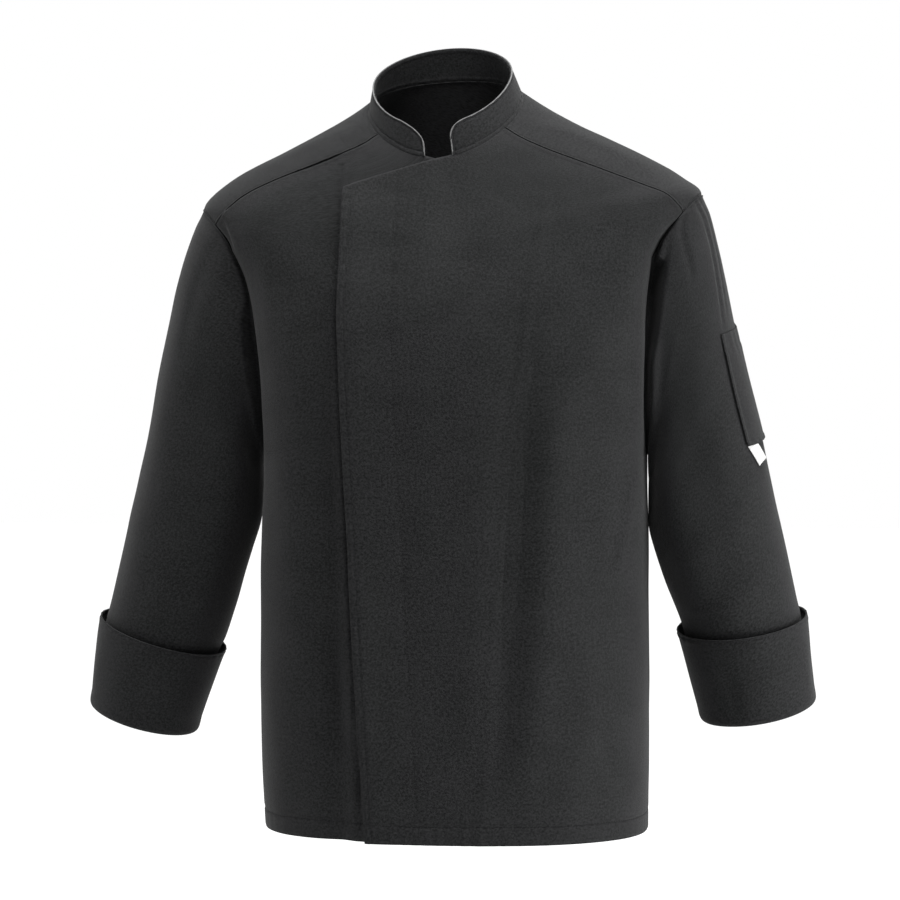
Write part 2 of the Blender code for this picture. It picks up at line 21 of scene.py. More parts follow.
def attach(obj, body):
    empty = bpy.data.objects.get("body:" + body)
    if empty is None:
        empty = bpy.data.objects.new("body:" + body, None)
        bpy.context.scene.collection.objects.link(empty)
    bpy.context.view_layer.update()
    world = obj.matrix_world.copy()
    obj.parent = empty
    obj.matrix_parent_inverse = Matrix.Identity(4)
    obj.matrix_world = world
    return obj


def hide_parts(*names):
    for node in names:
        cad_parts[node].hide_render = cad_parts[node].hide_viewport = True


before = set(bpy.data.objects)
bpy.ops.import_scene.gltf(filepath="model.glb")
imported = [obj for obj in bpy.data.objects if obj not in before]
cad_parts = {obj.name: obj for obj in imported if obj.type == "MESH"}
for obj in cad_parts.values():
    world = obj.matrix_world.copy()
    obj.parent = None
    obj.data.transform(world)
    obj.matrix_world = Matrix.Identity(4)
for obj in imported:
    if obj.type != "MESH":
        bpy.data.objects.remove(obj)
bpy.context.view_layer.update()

# ----------------------------------------
# Studio: a wide pale floor some way under the hem, a white room, large soft lamps at both sides
# and over the shoulders, and the camera in front, a little to the wearer's left.

FLOOR_Z = -1.6
FLOOR_SIZE = 40.0
CAMERA_TARGET = Vector((-0.004, 0.0, -0.342))
CAMERA_AZIMUTH = math.radians(5.5)
CAMERA_DISTANCE = 3.0
CAMERA_RAISE = 0.10
LENS_MM = 120.0


def placed(name, data):
    """An object in the scene."""
    thing = bpy.data.objects.new(name, data)
    bpy.context.scene.collection.objects.link(thing)
    return thing


def set_inputs(shader, values):
    """Sets inputs of a shader node."""
    for key, value in values.items():
        shader.inputs[key].default_value = value


ground = bmesh.new()
bmesh.ops.create_grid(ground, x_segments=8, y_segments=8, size=FLOOR_SIZE / 2)
bmesh.ops.translate(ground, verts=ground.verts, vec=(0.0, 0.0, FLOOR_Z))
floor_mesh = bpy.data.meshes.new("floor")
ground.to_mesh(floor_mesh)
ground.free()
floor_finish = bpy.data.materials.new("floor_paper")
floor_finish.use_nodes = True
set_inputs(floor_finish.node_tree.nodes["Principled BSDF"], {
    "Base Color": (0.93, 0.93, 0.93, 1.0),
    "Roughness": 0.95,
    "Emission Color": (1.0, 1.0, 1.0, 1.0),
    "Emission Strength": 0.12,
})
floor_mesh.materials.append(floor_finish)
floor = placed("floor", floor_mesh)

room = bpy.data.worlds.new("white_room")
room.use_nodes = True
set_inputs(room.node_tree.nodes["Background"], {"Color": (1.0, 1.0, 1.0, 1.0), "Strength": 1.0})
bpy.context.scene.world = room
bpy.context.scene.view_settings.view_transform = "Standard"

Lamp = namedtuple("Lamp", "name azimuth elevation distance width height power")
LAMPS = [
    Lamp("lamp_left_of_wearer", 75.0, -8.0, 2.6, 1.2, 1.6, 156.0),
    Lamp("lamp_right_of_wearer", -90.0, 10.0, 2.6, 1.2, 1.6, 34.0),
    Lamp("lamp_overhead", 10.0, 72.0, 2.5, 1.6, 1.4, 134.0),
    Lamp("lamp_over_neck", 15.0, 86.0, 2.5, 1.6, 1.4, 122.0),
]
for lamp in LAMPS:
    turn = math.radians(lamp.azimuth)
    lift = math.radians(lamp.elevation)
    level = math.cos(lift)
    way = Vector((math.sin(turn) * level, -math.cos(turn) * level, math.sin(lift)))
    light = bpy.data.lights.new(lamp.name, "AREA")
    light.shape = "RECTANGLE"
    light.size = lamp.width
    light.size_y = lamp.height
    light.energy = lamp.power
    holder = placed(lamp.name, light)
    holder.location = CAMERA_TARGET + way * lamp.distance
    holder.rotation_euler = way.to_track_quat("Z", "Y").to_euler()

camera_data = bpy.data.cameras.new("camera")
camera_data.lens = LENS_MM
camera = placed("camera", camera_data)
camera.location = CAMERA_TARGET + Vector((
    CAMERA_DISTANCE * math.sin(CAMERA_AZIMUTH),
    -CAMERA_DISTANCE * math.cos(CAMERA_AZIMUTH),
    CAMERA_RAISE,
))
camera.rotation_euler = (camera.location - CAMERA_TARGET).to_track_quat("Z", "Y").to_euler()
bpy.context.scene.camera = camera

# ----------------------------------------
# Back: one piece of black cotton twill, cut below the yoke and sewn to it, to the fronts at the
# side seams and to the sleeves. The body form that all of the panels share is drawn here, as
# rings from the hem up. A place on it is (turn, rise): turn goes round in half turns from
# centre front (0) over the wearer's left side (0.5) to centre back (1), rise goes up the cloth.

CLOTH_WALL = 0.0013
UNDERARM_RISE = 0.375
NECK_RISE = 0.80
BACK_SEAM_RISE = 0.655
ARM_STEPS = 28
FRONT_SEAM_STEP = 11
BACK_SEAM_STEP = 18
SIDE_ROWS = 10
BACK_ROWS = SIDE_ROWS + ARM_STEPS - BACK_SEAM_STEP
BACK_COLUMNS = 16
SIDE_EASE_RISE = 0.28
SIDE_EASE_SPAN = 0.20
EDGE_SHARPNESS = 5

Ring = namedtuple(
    "Ring",
    "rise z_front z_side z_back left right front back mid_x mid_y tilt tuck fold power",
)


def in_metres(kind, sizes, rows):
    """A table of one kind of row, of which the columns named as sizes are in millimetres."""
    return [kind(*(v / 1000 if n in sizes else v for n, v in enumerate(row))) for row in rows]


BODY = in_metres(Ring, range(1, 13), (
    (0, -717, -716.5, -719, 191, 190, 137, 122, 3, 0, -1, 0, 0, 2.5),
    (0.12, -600, -600, -600, 192, 194, 140, 119, 3, 0, 0, 0, 0, 2.7),
    (0.23, -492, -490, -490, 192, 194, 143, 115, 3, 0, 0, 1, 0, 2.8),
    (0.31, -414, -410, -414, 192, 191, 145, 114, 3, 0, 0, 1.5, 2, 2.9),
    (0.375, -350, -345, -350, 190, 189, 147, 115, 3, 0, 0, 1, 5, 2.9),
    (0.455, -272, -245, -275, 192, 193, 147, 118, 3, 0, 0, 0, 8, 2.9),
    (0.535, -205, -170, -202, 203, 208, 138, 113, 2, 0, 1, 0, 9, 2.6),
    (0.62, -150, -96, -132, 244.5, 251, 120, 100, 1, 0, 6, 0, 5, 2.2),
    (0.65, -132, -74, -104, 229, 226, 112.5, 94, 0, -1, 1, 0, 2, 2.15),
    (0.71, -100.5, -43, -58, 176, 165, 97, 83, -2, -4, 0.5, 0, 0, 2.1),
    (0.8, -54, 2, 30, 75.5, 75.5, 72, 66, -7, -12, 3, 0, 0, 2.1),
))

# The arm presses the side in (tuck), and the cloth stands in a fold before and behind it.
TUCK_SPREAD = 0.35
FOLD_PLACE = 0.43
FOLD_SPREAD = 0.16

# An armhole's seam: step 0 is at the underarm, then it goes up the front and down the back.
SeamPoint = namedtuple("SeamPoint", "step turn rise")
ARMHOLE = [SeamPoint(*row) for row in (
    (0, 0.5, 0.375), (2, 0.466, 0.384), (4, 0.428, 0.416), (6, 0.406, 0.466), (8, 0.399, 0.526),
    (10, 0.415, 0.586), (12, 0.455, 0.615), (14, 0.5, 0.62), (16, 0.562, 0.608),
    (18, 0.594, 0.574), (20, 0.607, 0.525), (22, 0.603, 0.47), (24, 0.586, 0.418),
    (26, 0.55, 0.386), (28, 0.5, 0.375),
)]


def between(rows, place):
    """The row of a table at a place in its first column, read on a smooth curve."""
    keys = [row[0] for row in rows]
    last = len(rows) - 2
    i = min(max(bisect_right(keys, place) - 1, 0), last)
    span = keys[i + 1] - keys[i]
    part = (place - keys[i]) / span
    low = max(i - 1, 0)
    high = min(i + 2, last + 1)
    before, start, end, after = rows[low], rows[i], rows[i + 1], rows[high]
    smooth = part * part * (3 - 2 * part)
    enter = part * (1 - part) ** 2 * span
    leave = part * part * (1 - part) * span
    values = []
    for column in range(len(start)):
        slope_in = (end[column] - before[column]) / (end[0] - before[0])
        slope_out = (after[column] - start[column]) / (after[0] - start[0])
        rise = end[column] - start[column]
        values.append(start[column] + rise * smooth + slope_in * enter - slope_out * leave)
    return type(start)(*values)


def on_ring(ring, turn):
    """A point of a ring. Its outline is a squared oval that may differ on its four sides."""
    angle = math.pi * turn
    across = math.sin(angle)
    ahead = math.cos(angle)
    half = ring.left if across >= 0 else ring.right
    deep = ring.front if ahead >= 0 else ring.back
    power = ring.power
    reach = (abs(across / half) ** power + abs(ahead / deep) ** power) ** (-1 / power)
    reach -= ring.tuck * math.exp(-((ahead / TUCK_SPREAD) ** 2))
    reach += ring.fold * math.exp(-(((abs(ahead) - FOLD_PLACE) / FOLD_SPREAD) ** 2))
    level = (ring.z_front + ring.z_back) / 2
    height = (level + ring.z_side) / 2
    height += (ring.z_front - ring.z_back) / 2 * ahead
    height += (level - ring.z_side) / 2 * math.cos(2 * angle)
    height += ring.tilt * across
    return Vector((ring.mid_x + reach * across, ring.mid_y - reach * ahead, height))


body_ring = lru_cache(maxsize=None)(lambda rise: between(BODY, rise))


def on_body(turn, rise):
    return on_ring(body_ring(rise), turn)


def armhole(step):
    """Turn and rise of the left armhole's seam point."""
    point = between(ARMHOLE, step)
    return point.turn, point.rise


def ease(value):
    """0 to 1, with soft ends."""
    value = min(max(value, 0.0), 1.0)
    return value * value * (3 - 2 * value)


def side_edge(row, front):
    """Turn and rise of a panel's outer edge on the left: the side seam, then the armhole."""
    if row <= SIDE_ROWS:
        return 0.5, UNDERARM_RISE * row / SIDE_ROWS
    return armhole(row - SIDE_ROWS if front else ARM_STEPS - row + SIDE_ROWS)


def back_top(k):
    """(turn, rise) along the back yoke seam, from the left armhole (0) to the right one."""
    seam_turn, seam_rise = armhole(BACK_SEAM_STEP)
    part = k / BACK_COLUMNS
    level = 1 - abs(2 * part - 1) ** 2
    rise = seam_rise + (BACK_SEAM_RISE - seam_rise) * level
    return seam_turn + (2 - 2 * seam_turn) * part, rise


def back_place(i, j):
    """A point of the back. Its rows are even inside and keep to the armholes at both sides."""
    last, top_rise = back_top(0)
    outer_turn, outer_rise = side_edge(j, False)
    main_turn = 0.5 + (last - 0.5) * ease((outer_rise - SIDE_EASE_RISE) / SIDE_EASE_SPAN)
    part = 1 - 2 * i / BACK_COLUMNS
    turn = 1 - (1 - main_turn) * part
    turn += (outer_turn - main_turn) * math.copysign(abs(part) ** EDGE_SHARPNESS, part)
    rise = outer_rise
    if j > SIDE_ROWS:
        upward = (j - SIDE_ROWS) / (BACK_ROWS - SIDE_ROWS)
        rise = UNDERARM_RISE + (top_rise - UNDERARM_RISE) * upward
    rise += (outer_rise - rise) * abs(part) ** 3
    rise += (back_top(i)[1] - top_rise) * (j / BACK_ROWS) ** 4
    return on_body(turn, rise)


# Black cotton twill: dark, matt, with a fine diagonal rib, uneven yarn and faint worn patches.
TWILL_DARK = (0.0015, 0.0016, 0.0017)
TWILL_LIGHT = (0.0088, 0.0090, 0.0093)
THREAD_DARK = (0.0010, 0.0010, 0.0011)
THREAD_LIGHT = (0.0030, 0.0030, 0.0032)
RIB_PITCH = 0.0009
RIB_SLANT = math.radians(58)
GRAIN_SIZE = 0.0018
YARN_SIZE = 0.0032
PATCH_SIZE = 0.040
WAVE_PERIOD = 2 * math.pi / 20


def node(tree, kind, inputs, out=0, **settings):
    """A shader node's output. Its inputs are values, or links from other nodes' outputs."""
    made = tree.nodes.new(f"ShaderNode{kind}")
    for key, value in settings.items():
        setattr(made, key, value)
    for key, value in inputs.items():
        if isinstance(value, bpy.types.NodeSocket):
            tree.links.new(value, made.inputs[key])
        else:
            made.inputs[key].default_value = value
    return made.outputs[out]


def twill(name, dark, light, sheen=0.03, bump=0.55):
    """A woven cotton finish on the weave map, which is in metres along the cloth."""
    finish = bpy.data.materials.new(name)
    finish.use_nodes = True
    tree = finish.node_tree
    shader = tree.nodes["Principled BSDF"]
    weave = node(tree, "UVMap", {}, uv_map="weave")
    slanted = node(tree, "Mapping", {"Vector": weave, "Rotation": (0.0, 0.0, RIB_SLANT)})
    wave = {"Vector": slanted, "Scale": WAVE_PERIOD / RIB_PITCH, "Distortion": 0.6, "Detail": 0.0}
    rib = node(tree, "TexWave", wave, "Fac")
    speck = {"Vector": weave, "Scale": 1 / GRAIN_SIZE, "Detail": 2.0, "Roughness": 0.65}
    grain = node(tree, "TexNoise", speck)
    yarn = node(tree, "TexNoise", {"Vector": weave, "Scale": 1 / YARN_SIZE, "Detail": 1.0})
    patch = node(tree, "TexNoise", {"Vector": weave, "Scale": 1 / PATCH_SIZE, "Detail": 2.0})
    worn = node(tree, "Math", {0: yarn, 1: 0.4, 2: grain}, operation="MULTIPLY_ADD")
    worn = node(tree, "Math", {0: patch, 1: 0.15, 2: worn}, operation="MULTIPLY_ADD")
    worn = node(tree, "MapRange", {"Value": worn, "From Min": 0.62, "From Max": 0.93})
    colour = node(
        tree, "Mix", {0: worn, 6: (*dark, 1.0), 7: (*light, 1.0)}, 2, data_type="RGBA"
    )
    tree.links.new(colour, shader.inputs["Base Color"])
    high = node(tree, "Math", {0: rib, 1: 0.5, 2: grain}, operation="MULTIPLY_ADD")
    raised = node(tree, "Bump", {"Height": high, "Strength": bump, "Distance": 0.00035})
    tree.links.new(raised, shader.inputs["Normal"])
    span = {"From Min": 0.3, "From Max": 0.7, "To Min": 0.72, "To Max": 0.9}
    tree.links.new(node(tree, "MapRange", {"Value": grain, **span}), shader.inputs["Roughness"])
    set_inputs(shader, {"Sheen Weight": sheen, "Sheen Roughness": 0.45, "Specular IOR Level": 0.06})
    return finish


black_twill = twill("black_twill", TWILL_DARK, TWILL_LIGHT)
black_thread = twill("black_thread", THREAD_DARK, THREAD_LIGHT, bump=0.0)


def lines(spans, near=(), far=()):
    """Grid lines, as (last, cells, size) for each span: where it ends, in how many cells, and how
    many metres one unit of it is long. Near and far add lines by their metres from the edges."""
    found = [0.0]
    for last, cells, _ in spans:
        first = found[-1]
        found += [first + (last - first) * (k + 1) / cells for k in range(cells)]
    if near:
        size = spans[0][2]
        found = [0.0] + [d / size for d in near] + [v for v in found if v > near[-1] / size * 1.2]
    if far:
        size = spans[-1][2]
        last = spans[-1][0]
        found = [v for v in found if v < last - far[-1] / size * 1.2]
        found += [last - d / size for d in reversed(far)] + [float(last)]
    return found


# A crease is drawn in the panel's own two directions, in millimetres, as a curve from (a0, b0)
# past (a1, b1) to (a2, b2). It is a ridge where high is above zero and a trough below it. Lean
# makes one flank steeper than the other, and ends is how quickly it rises from its two ends.
Crease = namedtuple("Crease", "a0 b0 a1 b1 a2 b2 wide high lean ends", defaults=(0.0, 0.7))
CREASE_SIZES = 8
CREASE_STEPS = 14
FAR = 9.0


def crease_relief(a, b, creases):
    """How far a panel's points stand out for its creases."""
    relief = np.zeros_like(a)
    t = np.linspace(0.0, 1.0, CREASE_STEPS + 1)
    for row in creases:
        c = Crease(*(size / 1000 for size in row[:CREASE_SIZES]), *row[CREASE_SIZES:])
        path_a = (1 - t) ** 2 * c.a0 + 2 * t * (1 - t) * c.a1 + t * t * c.a2
        path_b = (1 - t) ** 2 * c.b0 + 2 * t * (1 - t) * c.b1 + t * t * c.b2
        nearest = np.full(a.shape, FAR)
        side = np.zeros_like(a)
        along = np.zeros_like(a)
        for k in range(CREASE_STEPS):
            step_a = path_a[k + 1] - path_a[k]
            step_b = path_b[k + 1] - path_b[k]
            part = (a - path_a[k]) * step_a + (b - path_b[k]) * step_b
            part = np.clip(part / (step_a**2 + step_b**2), 0.0, 1.0)
            off_a = a - path_a[k] - part * step_a
            off_b = b - path_b[k] - part * step_b
            gap = np.hypot(off_a, off_b)
            closer = gap < nearest
            nearest = np.where(closer, gap, nearest)
            side = np.where(closer, np.sign(step_a * off_b - step_b * off_a), side)
            along = np.where(closer, (k + part) / CREASE_STEPS, along)
        fade = np.clip(4 * along * (1 - along), 0.0, 1.0) ** c.ends
        width = c.wide * (1 + c.lean * side)
        relief += c.high * fade * np.exp(-((nearest / width) ** 2))
    return relief


# What an edge of a panel looks like: raised over a seam allowance, sunk under its neighbour, and
# the metres in from it at which a row of stitches holds it down, or 0 where there is none.
Edge = namedtuple("Edge", "raised drop row")
TOPSTITCH_ROW = 0.0022
HEM_ROW = 0.018
OVER_SEAM = Edge(0.0007, 0.0003, TOPSTITCH_ROW)
UNDER_SEAM = Edge(0.0, 0.0011, 0.0)
OPEN_SEAM = Edge(0.0, 0.0006, 0.0)
HEM = Edge(0.0, 0.0004, HEM_ROW)
FINE_LINES = (0.0006, 0.0014, 0.0022, 0.0030, 0.0042, 0.0057, 0.0065, 0.0073, 0.009, 0.012)
HEM_LINES = (0.0007, 0.0018, 0.004, 0.008, 0.013, 0.0168, 0.018, 0.0192, 0.023)
ALLOWANCE = 0.0050
ALLOWANCE_PAST_ROW = 0.0010
ALLOWANCE_STEP = 0.0005
DROP_SPREAD = 0.0012
STITCH_SINK = 0.0009
STITCH_SPREAD = 0.0010
PUCKER = 0.0004
PUCKER_LENGTH = 0.012


def edge_gap(points, edge):
    """Metres from each point to an edge, and metres along it to the nearest place."""
    tree = KDTree(len(edge))
    for k, point in enumerate(edge):
        tree.insert(point, k)
    tree.balance()
    steps = np.linalg.norm(np.diff(edge, axis=0), axis=1)
    lengths = np.concatenate([[0.0], np.cumsum(steps)])
    gaps = np.zeros(len(points))
    alongs = np.zeros(len(points))
    for n, point in enumerate(points):
        _, k, best = tree.find(point)
        alongs[n] = lengths[k]
        for first in (k - 1, k):
            if 0 <= first < len(edge) - 1 and steps[first] > 0:
                way = edge[first + 1] - edge[first]
                part = min(max(float((point - edge[first]) @ way) / steps[first] ** 2, 0.0), 1.0)
                gap = float(np.linalg.norm(point - edge[first] - part * way))
                if gap < best:
                    best = gap
                    alongs[n] = lengths[first] + part * steps[first]
        gaps[n] = best
    return gaps, alongs


def edge_relief(gap, along, edge, seed):
    """How far points stand out for an edge, its seam allowance, its stitches and its puckers."""
    allowance = edge.row + ALLOWANCE_PAST_ROW if edge.row else ALLOWANCE
    relief = edge.raised * (0.5 - 0.5 * np.tanh((gap - allowance) / ALLOWANCE_STEP))
    relief -= edge.drop * np.exp(-((gap / DROP_SPREAD) ** 2))
    if edge.row:
        relief -= STITCH_SINK * np.exp(-(((gap - edge.row) / STITCH_SPREAD) ** 2))
        wave = np.sin(along / PUCKER_LENGTH * 2 * math.pi + 2.2 * np.sin(along * 31.0 + seed))
        wave *= 0.6 + 0.4 * np.sin(along * 17.0 + 2.1 * seed)
        relief += PUCKER * wave * np.exp(-(((gap - edge.row * 0.6) / (edge.row * 0.8)) ** 2))
    return relief


UNEVEN = 0.0009
UNEVEN_LENGTH = 0.075
OCTAVES = ((1.0, 1.0), (2.3, 0.35))
WELD = 0.000002


def finished(name, made, finish):
    """A piece of the jacket from its finished bmesh."""
    mesh = bpy.data.meshes.new(name)
    made.to_mesh(mesh)
    made.free()
    mesh.shade_smooth()
    mesh.materials.append(finish)
    piece = placed(name, mesh)
    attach(piece, "root")
    return piece


def cloth(name, form, creases=(), edges=None, closed=False, frame_of=None, wall=CLOTH_WALL,
          uneven=UNEVEN, extra=None, slide=None, finish=black_twill):
    """A panel of cloth: a grid on its form, moved out by its creases, edges and unevenness.

    It takes the place of the solid of its name. Form is where a place on the panel lies, and the
    grid's lines across and along it. Edges gives the kind of each edge by its side: left and
    right are the first and last line across, low and high the first and last along. Frame_of
    gives the two directions that the creases are drawn in, and is (x, z) where it is left out.
    Extra adds to the relief, and slide moves the points along the cloth.
    """
    title = f"{name}_cloth"
    place, across, along = form
    columns = len(across) - 1
    rows = len(along) - 1
    points = np.array([[place(i, j) for i in across] for j in along])
    if closed:
        padded = np.concatenate([points[:, -2:-1], points, points[:, 1:2]], axis=1)
        round_way = np.gradient(padded, axis=1)[:, 1:-1]
    else:
        round_way = np.gradient(points, axis=1)
    normals = np.cross(round_way, np.gradient(points, axis=0))
    normals /= np.maximum(np.linalg.norm(normals, axis=2, keepdims=True), 1e-12)
    flat = points.reshape(-1, 3)
    a, b = flat[:, 0], flat[:, 2]
    if frame_of is not None:
        a, b = (np.array(v).reshape(-1) for v in frame_of(np.array(across), np.array(along)))
    relief = crease_relief(a, b, creases)
    for octave, share in OCTAVES:
        size = octave / UNEVEN_LENGTH
        values = [noise.noise(Vector(p) * size) for p in flat]
        relief += uneven * share * np.array(values)
    sides = {"left": points[:, 0], "right": points[:, -1], "low": points[0], "high": points[-1]}
    for seed, (side, edge) in enumerate((edges or {}).items(), len(title)):
        gap, length = edge_gap(flat, sides[side])
        relief += edge_relief(gap, length, edge, seed)
    if extra is not None:
        relief += extra(flat)
    moved = points + normals * relief.reshape(rows + 1, columns + 1, 1)
    if slide is not None:
        moved += slide(flat).reshape(moved.shape)
    widths = np.linalg.norm(np.diff(points, axis=1), axis=2)
    heights = np.linalg.norm(np.diff(points, axis=0), axis=2)
    u = np.pad(np.cumsum(widths, axis=1), ((0, 0), (1, 0)))
    v = np.pad(np.cumsum(heights, axis=0), ((1, 0), (0, 0)))
    grid = bmesh.new()
    bmesh.ops.create_grid(grid, x_segments=columns, y_segments=rows, size=1.0)
    weave = grid.loops.layers.uv.new("weave")
    where = {}
    for vert in grid.verts:
        i = round((vert.co.x + 1) / 2 * columns)
        j = round((vert.co.y + 1) / 2 * rows)
        where[vert] = (i, j)
        vert.co = moved[j, i]
    for face in grid.faces:
        for loop in face.loops:
            i, j = where[loop.vert]
            loop[weave].uv = (u[j, i], v[j, i])
    if closed:
        bmesh.ops.remove_doubles(grid, verts=grid.verts, dist=WELD)
    piece = finished(title, grid, finish)
    solid = piece.modifiers.new("wall", "SOLIDIFY")
    solid.thickness = wall
    solid.offset = 0.0
    solid.use_even_offset = False
    rounded = piece.modifiers.new("folded_edge", "BEVEL")
    rounded.width = wall * 0.3
    rounded.segments = 2
    rounded.limit_method = "ANGLE"
    rounded.angle_limit = math.radians(60)
    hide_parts(name)
    return piece


# Sewing thread: stitches lie end to end along a line on the cloth, each a small rounded bead.
STITCH_LENGTH = 0.0029
STITCH_PITCH = 0.0033
THREAD = 0.00042
PATH_STEPS = 160
NUDGE = 0.02


def inset(form, side, metres, start=0.0, end=1.0):
    """A path on a panel's form at an even distance in from one of its edges."""
    place, across, along = form
    upright = side in ("left", "right")
    depths, ways = (across, along) if upright else (along, across)
    edge = depths[0] if side in ("left", "low") else depths[-1]
    step = NUDGE if side in ("left", "low") else -NUDGE

    def at(depth, way):
        return Vector(place(depth, way) if upright else place(way, depth))

    path = []
    for n in range(PATH_STEPS + 1):
        way = ways[0] + (ways[-1] - ways[0]) * (start + (end - start) * n / PATH_STEPS)
        spot = at(edge, way)
        inside = at(edge + step, way) - spot
        before = at(edge, max(way - NUDGE, ways[0]))
        after = at(edge, min(way + NUDGE, ways[-1]))
        tangent = (after - before).normalized()
        inward = (inside - tangent * inside.dot(tangent)).normalized()
        path.append(spot + inward * metres)
    return path


def stitches(piece, paths):
    """Rows of stitches on a panel. Each path is a list of points near the panel's outer side."""
    tree = BVHTree.FromPolygons(
        [v.co for v in piece.data.vertices], [tuple(p.vertices) for p in piece.data.polygons]
    )
    out = piece.modifiers["wall"].thickness / 2
    size = Matrix.Diagonal((STITCH_LENGTH / 2, THREAD / 2, THREAD / 2, 1.0))
    thread = bmesh.new()
    for path in paths:
        found = [tree.find_nearest(Vector(point)) for point in path]
        points = [spot + normal * out for spot, normal, _, _ in found]
        normals = [normal for _, normal, _, _ in found]
        travelled = 0.0
        next_at = STITCH_PITCH / 2
        for k in range(len(points) - 1):
            step = points[k + 1] - points[k]
            length = step.length
            while length > 0 and next_at <= travelled + length:
                part = (next_at - travelled) / length
                forward = step.normalized()
                upward = normals[k].lerp(normals[k + 1], part).normalized()
                sideways = upward.cross(forward).normalized()
                turned = Matrix((forward, sideways, upward)).transposed().to_4x4()
                at = Matrix.Translation(points[k] + step * part) @ turned @ size
                bmesh.ops.create_icosphere(thread, subdivisions=1, radius=1.0, matrix=at)
                next_at += STITCH_PITCH
            travelled += length
    name = piece.name.replace("_cloth", "_stitches")
    return finished(name, thread, black_thread)


BACK_CREASES = [
    (-115, -120, -125, -300, -105, -500, 20, -3, 0.25),
    (-60, -110, -50, -330, -75, -620, 18, 2.6, -0.2),
    (4, -150, 12, -350, -4, -600, 22, -2.6, 0.1),
    (58, -100, 66, -290, 50, -540, 17, 2.8, 0.3),
    (110, -140, 100, -360, 122, -660, 21, -3.2, -0.2),
    (150, -200, 142, -300, 152, -440, 15, 3, 0.2),
    (-155, -220, -150, -330, -158, -470, 16, 2.8, 0.1),
    (-150, -340, -90, -390, -20, -385, 14, -1.8, 0.3),
    (155, -360, 100, -420, 30, -425, 13, -1.8, -0.3),
    (-30, -470, -45, -600, -30, -760, 20, 3, 0.2),
    (85, -500, 78, -620, 92, -760, 19, 3, -0.2),
    (-130, -550, -126, -650, -134, -760, 17, -2.8, 0.1),
]
back_form = (
    back_place,
    lines([(BACK_COLUMNS, 96, 0.027)], FINE_LINES, FINE_LINES),
    lines([(SIDE_ROWS, 96, 0.037), (BACK_ROWS, 72, 0.026)], HEM_LINES, FINE_LINES),
)
back = cloth(
    "back",
    back_form,
    BACK_CREASES,
    {"left": OPEN_SEAM, "right": OPEN_SEAM, "low": HEM, "high": UNDER_SEAM},
)
back_thread = stitches(back, [inset(back_form, "low", HEM_ROW)])

# ----------------------------------------
# Yoke: one shaped piece over both shoulders, from the back seam forward to the chest. Its edges
# are turned under and topstitched over the fronts and the back, and it carries the jacket.

YOKE_NECK_TURN = 0.303
SHOULDER_COLUMNS = 6
YOKE_BOW_STEPS = 7
YOKE_SEAM = [SeamPoint(*row) for row in (
    (0, YOKE_NECK_TURN, NECK_RISE), (0.1, 0.306, 0.777), (0.2, 0.321, 0.753),
    (0.4, 0.349, 0.715), (0.6, 0.375, 0.677), (0.8, 0.398, 0.643), (0.9, 0.411, 0.622),
    (1, 0.435, 0.604),
)]
YOKE_LAST = BACK_COLUMNS + 2 * (BACK_SEAM_STEP - FRONT_SEAM_STEP)


def yoke_seam(part):
    """Turn and rise on the yoke's front seam, which ends at a point of the armhole."""
    point = between(YOKE_SEAM, part)
    end_turn, end_rise = armhole(FRONT_SEAM_STEP)
    turn = point.turn + (end_turn - YOKE_SEAM[-1].turn) * part
    rise = point.rise + (end_rise - YOKE_SEAM[-1].rise) * part
    return turn, rise


def yoke_outer(k):
    """(turn, rise) on the yoke's outer edge: left armhole, back seam, right armhole."""
    arm = BACK_SEAM_STEP - FRONT_SEAM_STEP
    if k < arm:
        return armhole(FRONT_SEAM_STEP + k)
    if k <= YOKE_LAST - arm:
        return back_top(k - arm)
    turn, rise = armhole(FRONT_SEAM_STEP + YOKE_LAST - k)
    return 2 - turn, rise


def yoke_place(k, j):
    part = j / SHOULDER_COLUMNS
    front_edge = yoke_outer(0)
    seam_turn, seam_rise = yoke_seam(1 - part)
    bow_turn = seam_turn - front_edge[0] - (YOKE_NECK_TURN - front_edge[0]) * part
    bow_rise = seam_rise - front_edge[1] - (NECK_RISE - front_edge[1]) * part
    edge = yoke_outer(k)
    neck = YOKE_NECK_TURN + (2 - 2 * YOKE_NECK_TURN) * k / YOKE_LAST
    share = max(1 - min(k, YOKE_LAST - k) / YOKE_BOW_STEPS, 0.0) ** 2
    side = 1 if k < YOKE_LAST / 2 else -1
    turn = edge[0] + (neck - edge[0]) * part + side * bow_turn * share
    rise = edge[1] + (NECK_RISE - edge[1]) * part + bow_rise * share
    return on_body(turn, rise)


def from_above(across, along):
    """The yoke's creases are drawn as seen from above, in x and y."""
    spots = np.array([[yoke_place(i, j) for i in across] for j in along])
    return spots[..., 0], spots[..., 1]


YOKE_CREASES = [
    (65, -50, 120, -30, 200, -45, 10, 1.2, 0.2),
    (80, 0, 140, 12, 215, 0, 12, -1.2),
    (-72, -45, -130, -30, -200, -40, 10, 1.1, 0.2),
    (-85, 4, -150, 14, -210, 4, 12, -1.2),
    (30, 58, 34, 80, 44, 105, 10, 1.2),
    (-50, 55, -54, 80, -60, 105, 10, 1.1),
]
yoke_form = (
    yoke_place,
    lines([(YOKE_LAST, 180, 0.021)], FINE_LINES, FINE_LINES),
    lines([(SHOULDER_COLUMNS, 48, 0.027)], FINE_LINES, FINE_LINES[:4]),
)
yoke = cloth(
    "yoke",
    yoke_form,
    YOKE_CREASES,
    {"left": OVER_SEAM, "right": OVER_SEAM, "low": OVER_SEAM, "high": UNDER_SEAM},
    frame_of=from_above,
)
yoke_thread = stitches(
    yoke, [inset(yoke_form, side, TOPSTITCH_ROW) for side in ("left", "right", "low")]
)

